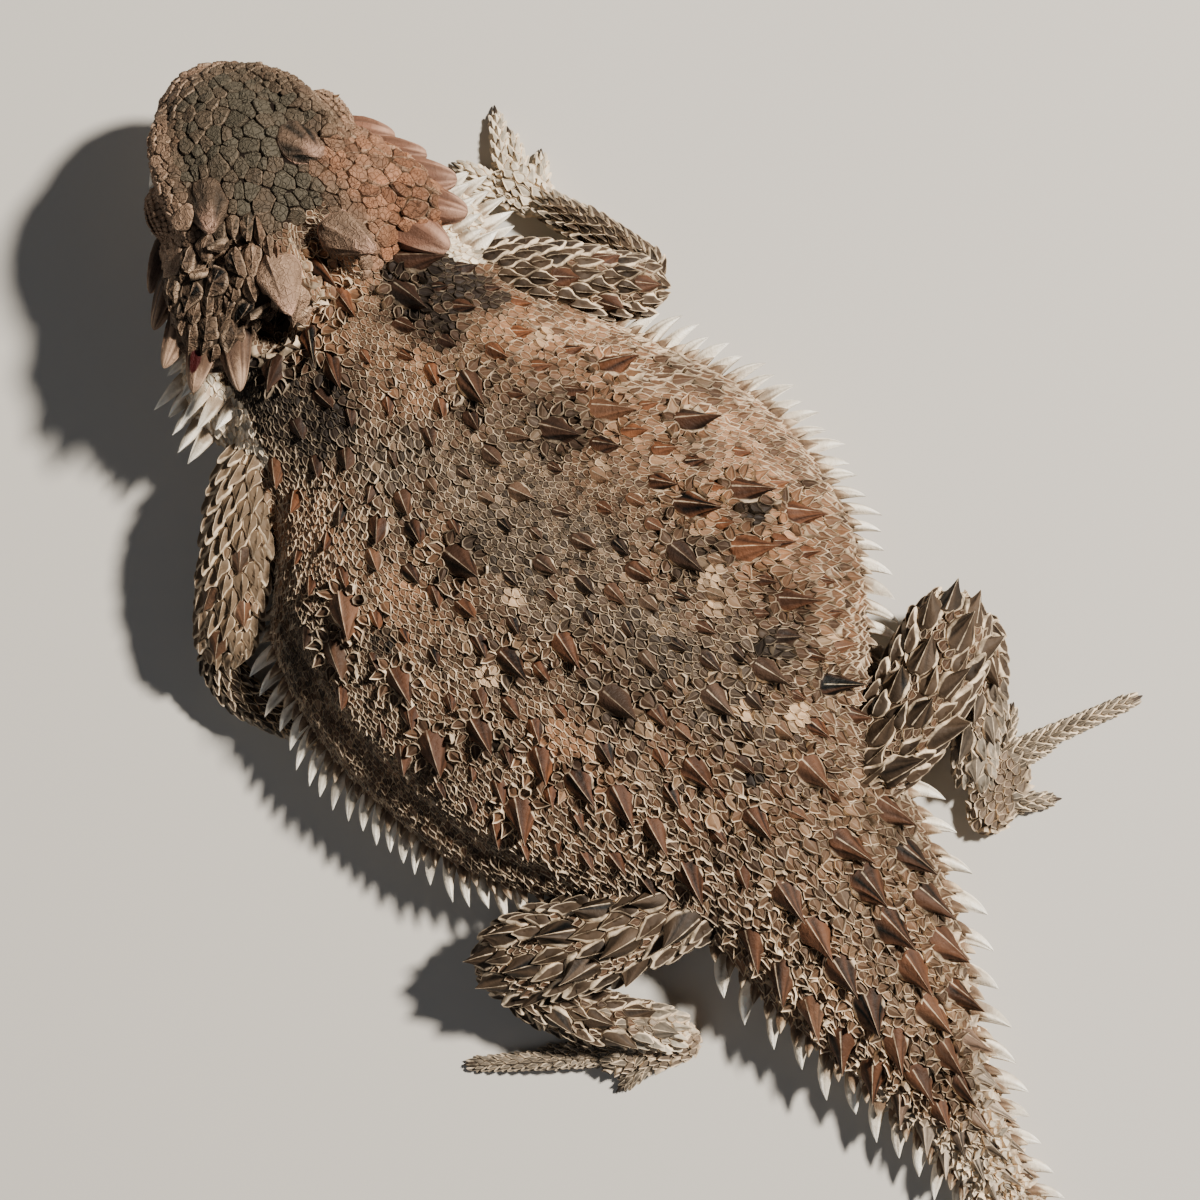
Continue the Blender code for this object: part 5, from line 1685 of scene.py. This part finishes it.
GRAIN_PROFILE = (
    (1.0, -0.5, 0.0, 1.4, 0.0), (0.97, 0.85, 0.0, 1.0, 0.0), (0.72, 0.5, 0.05, 0.4, 0.1), (0.0, 0.6, 0.4, 0.0, 0.3),
)
PLATE_PROFILE = (
    (1.0, -0.7, 0.0, 1.45, 0.0), (0.985, 0.4, 0.0, 1.06, 0.0), (0.92, 0.85, 0.0, 0.95, 0.0),
    (0.66, 1.0, 0.0, 0.6, 0.04), (0.34, 1.06, 0.0, 0.3, 0.06), (0.0, 1.04, 0.0, 0.0, 0.06),
)
LIMB_PROFILE = (
    (1.0, -0.4, 0.0, 1.45, 0.0), (1.0, 0.08, 0.0, 1.02, 0.06), (0.85, 0.3, 0.05, 0.88, 0.22),
    (0.55, 0.46, 0.15, 0.56, 0.42), (0.25, 0.55, 0.25, 0.26, 0.5), (0.0, 0.58, 0.3, 0.0, 0.52),
)
RIDGED_PROFILE = (
    (1.0, -0.35, 0.0, 1.45, 0.0), (0.97, 0.15, 0.0, 1.04, 0.0), (0.86, 0.42, 0.05, 0.92, 0.08),
    (0.6, 0.62, 0.2, 0.6, 0.22), (0.3, 0.8, 0.4, 0.3, 0.24), (0.0, 0.92, 0.6, 0.0, 0.2),
)
HORN_PROFILE = (
    (1.0, -0.3, 0.0, 1.45, 0.0), (0.98, 0.05, 0.0, 0.0, 0.0), (0.88, 0.24, 0.1, 0.0, 0.0),
    (0.76, 0.42, 0.24, 0.05, 0.0), (0.63, 0.6, 0.42, 0.14, 0.0), (0.5, 0.75, 0.6, 0.28, 0.0),
    (0.36, 0.88, 0.77, 0.48, 0.0), (0.2, 0.96, 0.92, 0.72, 0.0), (0.0, 1.0, 1.0, 0.95, 0.0),
)
THORN_PROFILE = (
    (1.0, -0.25, 0.0, 1.45, 0.0), (0.98, 0.05, 0.0, 1.02, 0.0), (0.88, 0.15, 0.06, 0.92, 0.03),
    (0.66, 0.33, 0.25, 0.66, 0.09), (0.44, 0.56, 0.5, 0.44, 0.11), (0.2, 0.82, 0.78, 0.2, 0.06),
    (0.0, 1.0, 1.0, 0.0, 0.0),
)
grow("back_scales", kind == "grain", 10, GRAIN_PROFILE, GRAIN, (0.0, 0.4, 0.6, 0.0, 0.1))
grow("thorn_rings", kind == "petal", 10, GRAIN_PROFILE, PETAL, (0.0, 0.4, 0.9, 0.0, 0.15))
grow("thorns", kind == "thorn", 16, THORN_PROFILE, THORN, (0.4, 0.1, 0.0, 0.02, 0.8))
grow("keeled_scales", kind == "keeled", 16, THORN_PROFILE, THORN, (0.35, 0.15, 0.1, 0.0, 0.7))
grow("leg_thorns", kind == "spike", 16, THORN_PROFILE, SPIKE, (0.4, 0.15, 0.0, 0.015, 0.7))
grow("limb_scales", kind == "limb", 12, LIMB_PROFILE, LIMB, (0.1, 0.5, 0.8, 0.012, 0.25))
grow("toe_scales", kind == "toe", 8, LIMB_PROFILE[:4] + LIMB_PROFILE[5:], LIMB, (0.1, 0.55, 0.8, 0.0, 0.2))
grow("head_plates", np.isin(kind, ("plate", "lip")), 16, PLATE_PROFILE, PLATE, (0.0, 0.05, 0.0, 0.05, 0.2))
grow("temple_scales", kind == "ridged", 16, RIDGED_PROFILE, TEMPLE_SCALE, (0.1, 0.2, 0.2, 0.09, 0.7))
grow("eyelid_scales", kind == "lid", 8, GRAIN_PROFILE, PLATE, (0.0, 0.0, 0.1, 0.0, 0.1))
grow("crown_horns", kind == "horn", 24, HORN_PROFILE, CROWN_HORN, (0.1, 0.1, 0.0, 0.07, 0.7))


def fringe_places(start, end, side, step, sweep, size):
    """Places of a row of side thorns, swept back towards the tail."""
    places, y = [], start
    while y < end:
        middle, half_width, _, edge, _ = along(TRUNK, y)
        ahead_middle, ahead_half_width = along(TRUNK, y + 0.5)[:2]
        drift = (ahead_middle - middle + side * (ahead_half_width - half_width)) / 0.5
        backward = Vector((drift, 1, 0)).normalized()
        outward = Vector((backward.y, -backward.x, 0)) * side
        angle = math.radians(sweep + chance.uniform(-5, 5))
        taper = min(1.0, 0.6 + half_width / 14)
        skin_edge = Vector((middle + side * half_width, y, max(edge, 1.3)))
        pointing = outward * math.cos(angle) + backward * math.sin(angle)
        tip = skin_edge + (pointing * varied(size[0]) + UP * varied(0.3)) * taper
        root = skin_edge - outward * 1.5 * taper - backward * 0.3
        bend = (outward - backward * 0.4) * 0.09
        places.append((root, tip, varied(size[1]) * taper, varied(size[2]) * taper, bend, "torso"))
        share = (y - start) / (end - start)
        y += step[0] * (1 - share) + step[1] * share
    return places


def leaf(share):
    """A leaf's outline: widest near the root, then drawn to a point."""
    return (1 - share) ** 0.95 * (0.85 + 0.6 * share) + 0.02 * (1 - share)


def cone(share):
    return max(0.03, (1 - share) ** 0.55)


def blunt(share):
    return max(0.03, (1 - share) ** 0.42)


LEAF_SHARES = (0.0, 0.15, 0.3, 0.45, 0.6, 0.75, 0.87, 0.95, 1.0)
fringe, small_fringe = [], []
for side in (1, -1):
    start, end = FRINGE_SPAN[side]
    fringe += fringe_places(start, end, side, (FRINGE_STEP, FRINGE_STEP), 34, (3.4, 2.0, 1.4))
    small_fringe += fringe_places(start - 1.0, end + 1.0, side, (1.3, 1.3), 40, (1.3, 1.7, 1.3))
    fringe += fringe_places(31.2, 75.0, side, (3.5, 2.2), 44, (3.7, 2.6, 2.0))
    small_fringe += fringe_places(30.0, 74.0, side, (1.8, 1.5), 46, (1.5, 1.9, 1.4))
spines("fringe", fringe, 12, LEAF_SHARES, leaf, FRINGE)
raised = [(root + UP * 0.9, tip + UP * 1.0, *rest) for root, tip, *rest in small_fringe]
spines("small_fringe", raised, 10, LEAF_SHARES, leaf, SMALL_FRINGE)

neck_spines = []
for side, start, end, heights, length in NECK_SPINES:
    for row, z in enumerate(heights):
        for y in evenly(start + 0.5 * (row % 2), end, 6):
            hit, normal, _, _ = skin_tree.ray_cast(Vector((30 * side, y, z)), Vector((-side, 0, 0)))
            if hit is None or owner_at(hit) != "neck":
                continue
            way = (Vector((side, 0.25, -0.05)) + normal * 0.3).normalized()
            tip = hit + way * varied(length, 0.25)
            neck_spines.append((hit - way * 0.7, tip, varied(1.9), varied(1.1), UP * 0.05, "neck"))
spines("neck_spines", neck_spines, 12, LEAF_SHARES, leaf, FRINGE)

HORN_SHARES = (0.0, 0.2, 0.35, 0.5, 0.62, 0.73, 0.83, 0.91, 0.97, 1.0)
horn_sets = {1: [], -1: []}
for root, tip, width, thickness, side in temple_horns:
    ahead = (tip - root).normalized()
    tip, root = root.lerp(tip, 1.0 if side > 0 else 0.84), root - ahead * 0.8
    wide = 1.2 if side > 0 else 1.4
    horn_sets[side].append((root, tip, width * wide, thickness * wide, UP * 0.05, "head"))
spines("left_horns", horn_sets[1], 24, HORN_SHARES, cone, SHADED_LEFT_HORN, 0.2)
spines("right_horns", horn_sets[-1], 24, HORN_SHARES, blunt, RIGHT_HORN, 0.18)

cheeks = []
for side in (1, -1):
    for y in evenly(CHEEK_LINE[0][0], CHEEK_LINE[-1][0], 9):
        x, z = along(CHEEK_LINE, y)
        root = HEAD @ Vector((side * (x - 1.2), y, z))
        tip = HEAD @ Vector((side * (x + 1.2), y + 1.3, z - 0.6))
        cheeks.append((root, tip, varied(1.9), varied(1.2), Vector((0, 0, 0)), "head"))
spines("cheek_thorns", cheeks, 12, LEAF_SHARES, leaf, FRINGE)

claws = []
for name, (_, digits) in PAWS.items():
    for root, tip in digits:
        root, tip = Vector((*root, 1.0)), Vector((*tip, 0.25))
        ahead = (tip - root).normalized()
        claws.append((tip - ahead * 1.7 + UP * 0.1, tip, 0.75, 0.8, UP * 0.12, name))
spines("claws", claws, 10, LEAF_SHARES, cone, CLAW)

for side, label in ((1, "left"), (-1, "right")):
    out, turn = eye_way(side)
    eye = moved(ball((0, 0, 0), EYE_RADIUS, 48, 32), turn.to_4x4())
    heights = np.array([(v.co.normalized().dot(out)) for v in eye.data.vertices])
    angles = np.arccos(np.clip(heights, -1, 1))
    set_colours(eye.data, "grown", np.stack([angles] * 3 + [np.ones_like(angles)], 1))
    moved(eye, HEAD @ Matrix.Translation(mirrored(EYE_AT, side)))
    moved(eye, TO_METRES)
    eye.name = f"eyeball_{label}"
    eye.data.materials.append(EYE)
    dress(eye)
    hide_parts(f"eye_{label}")

points = numbers(skin.data, "co", 3, np.float32)
owners = [owner_at(Vector(p)) for p in points]
set_colours(skin.data, "marks", marks_at(points, owners))
set_colours(skin.data, "grown", np.tile([0.0, 0.5, 0.0, 1.0], (len(points), 1)))
moved(skin, TO_METRES)
skin.data.materials.clear()
skin.data.materials.append(SKIN)
dress(skin)
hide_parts(*[name for name in frame["nodes"] if not name.startswith("eye")])


# Floor, light and camera

bm = bmesh.new()
bmesh.ops.create_grid(bm, x_segments=1, y_segments=1, size=1.5)
floor = new_object("floor", bm)
bpy.context.scene.collection.objects.link(floor)
floor_material, _, floor_shader = new_material("floor")
floor_shader.inputs["Base Color"].default_value = (0.55, 0.53, 0.5, 1)
floor_shader.inputs["Roughness"].default_value = 0.9
floor.data.materials.append(floor_material)

# The picture's right and down on the floor, and the camera's lens in millimetres and height in metres.
RIGHT, DOWN = Vector((-0.727, 0.687, 0)), Vector((0.687, 0.727, 0))
LENS, CAMERA_HEIGHT = 106.7, 0.33
MIDDLE = Vector((-BOX_CENTRE.x * MM, -BOX_CENTRE.y * MM, 0.01))


def lamp(name, way, distance, size, power, colour):
    data = bpy.data.lights.new(name, "AREA")
    data.shape = "DISK"
    data.size = size
    data.energy = power
    data.color = colour
    obj = bpy.data.objects.new(name, data)
    obj.location = MIDDLE + way.normalized() * distance
    obj.rotation_euler = way.to_track_quat("Z", "Y").to_euler()
    bpy.context.scene.collection.objects.link(obj)


lamp("key", RIGHT - DOWN * 0.5 + UP * 1.25, 0.9, 0.1, 22.5, (1.0, 0.93, 0.82))
lamp("fill", -RIGHT * 0.6 + DOWN * 0.5 + UP, 1.1, 0.9, 1.1, (0.92, 0.96, 1.0))
world = bpy.data.worlds.new("studio")
bpy.context.scene.world = world
world.use_nodes = True
world.node_tree.nodes["Background"].inputs[0].default_value = (0.9, 0.93, 1.0, 1)
world.node_tree.nodes["Background"].inputs[1].default_value = 0.06

camera_data = bpy.data.cameras.new("camera")
camera_data.lens = LENS
camera_data.sensor_width = 36
camera_data.clip_start = 0.01
camera = bpy.data.objects.new("camera", camera_data)
up = -DOWN
camera.matrix_world = Matrix(
    (
        (RIGHT.x, up.x, 0, -BOX_CENTRE.x * MM),
        (RIGHT.y, up.y, 0, -BOX_CENTRE.y * MM),
        (0, 0, 1, CAMERA_HEIGHT),
        (0, 0, 0, 1),
    )
)
bpy.context.scene.collection.objects.link(camera)
bpy.context.scene.camera = camera

bpy.context.view_layer.update()
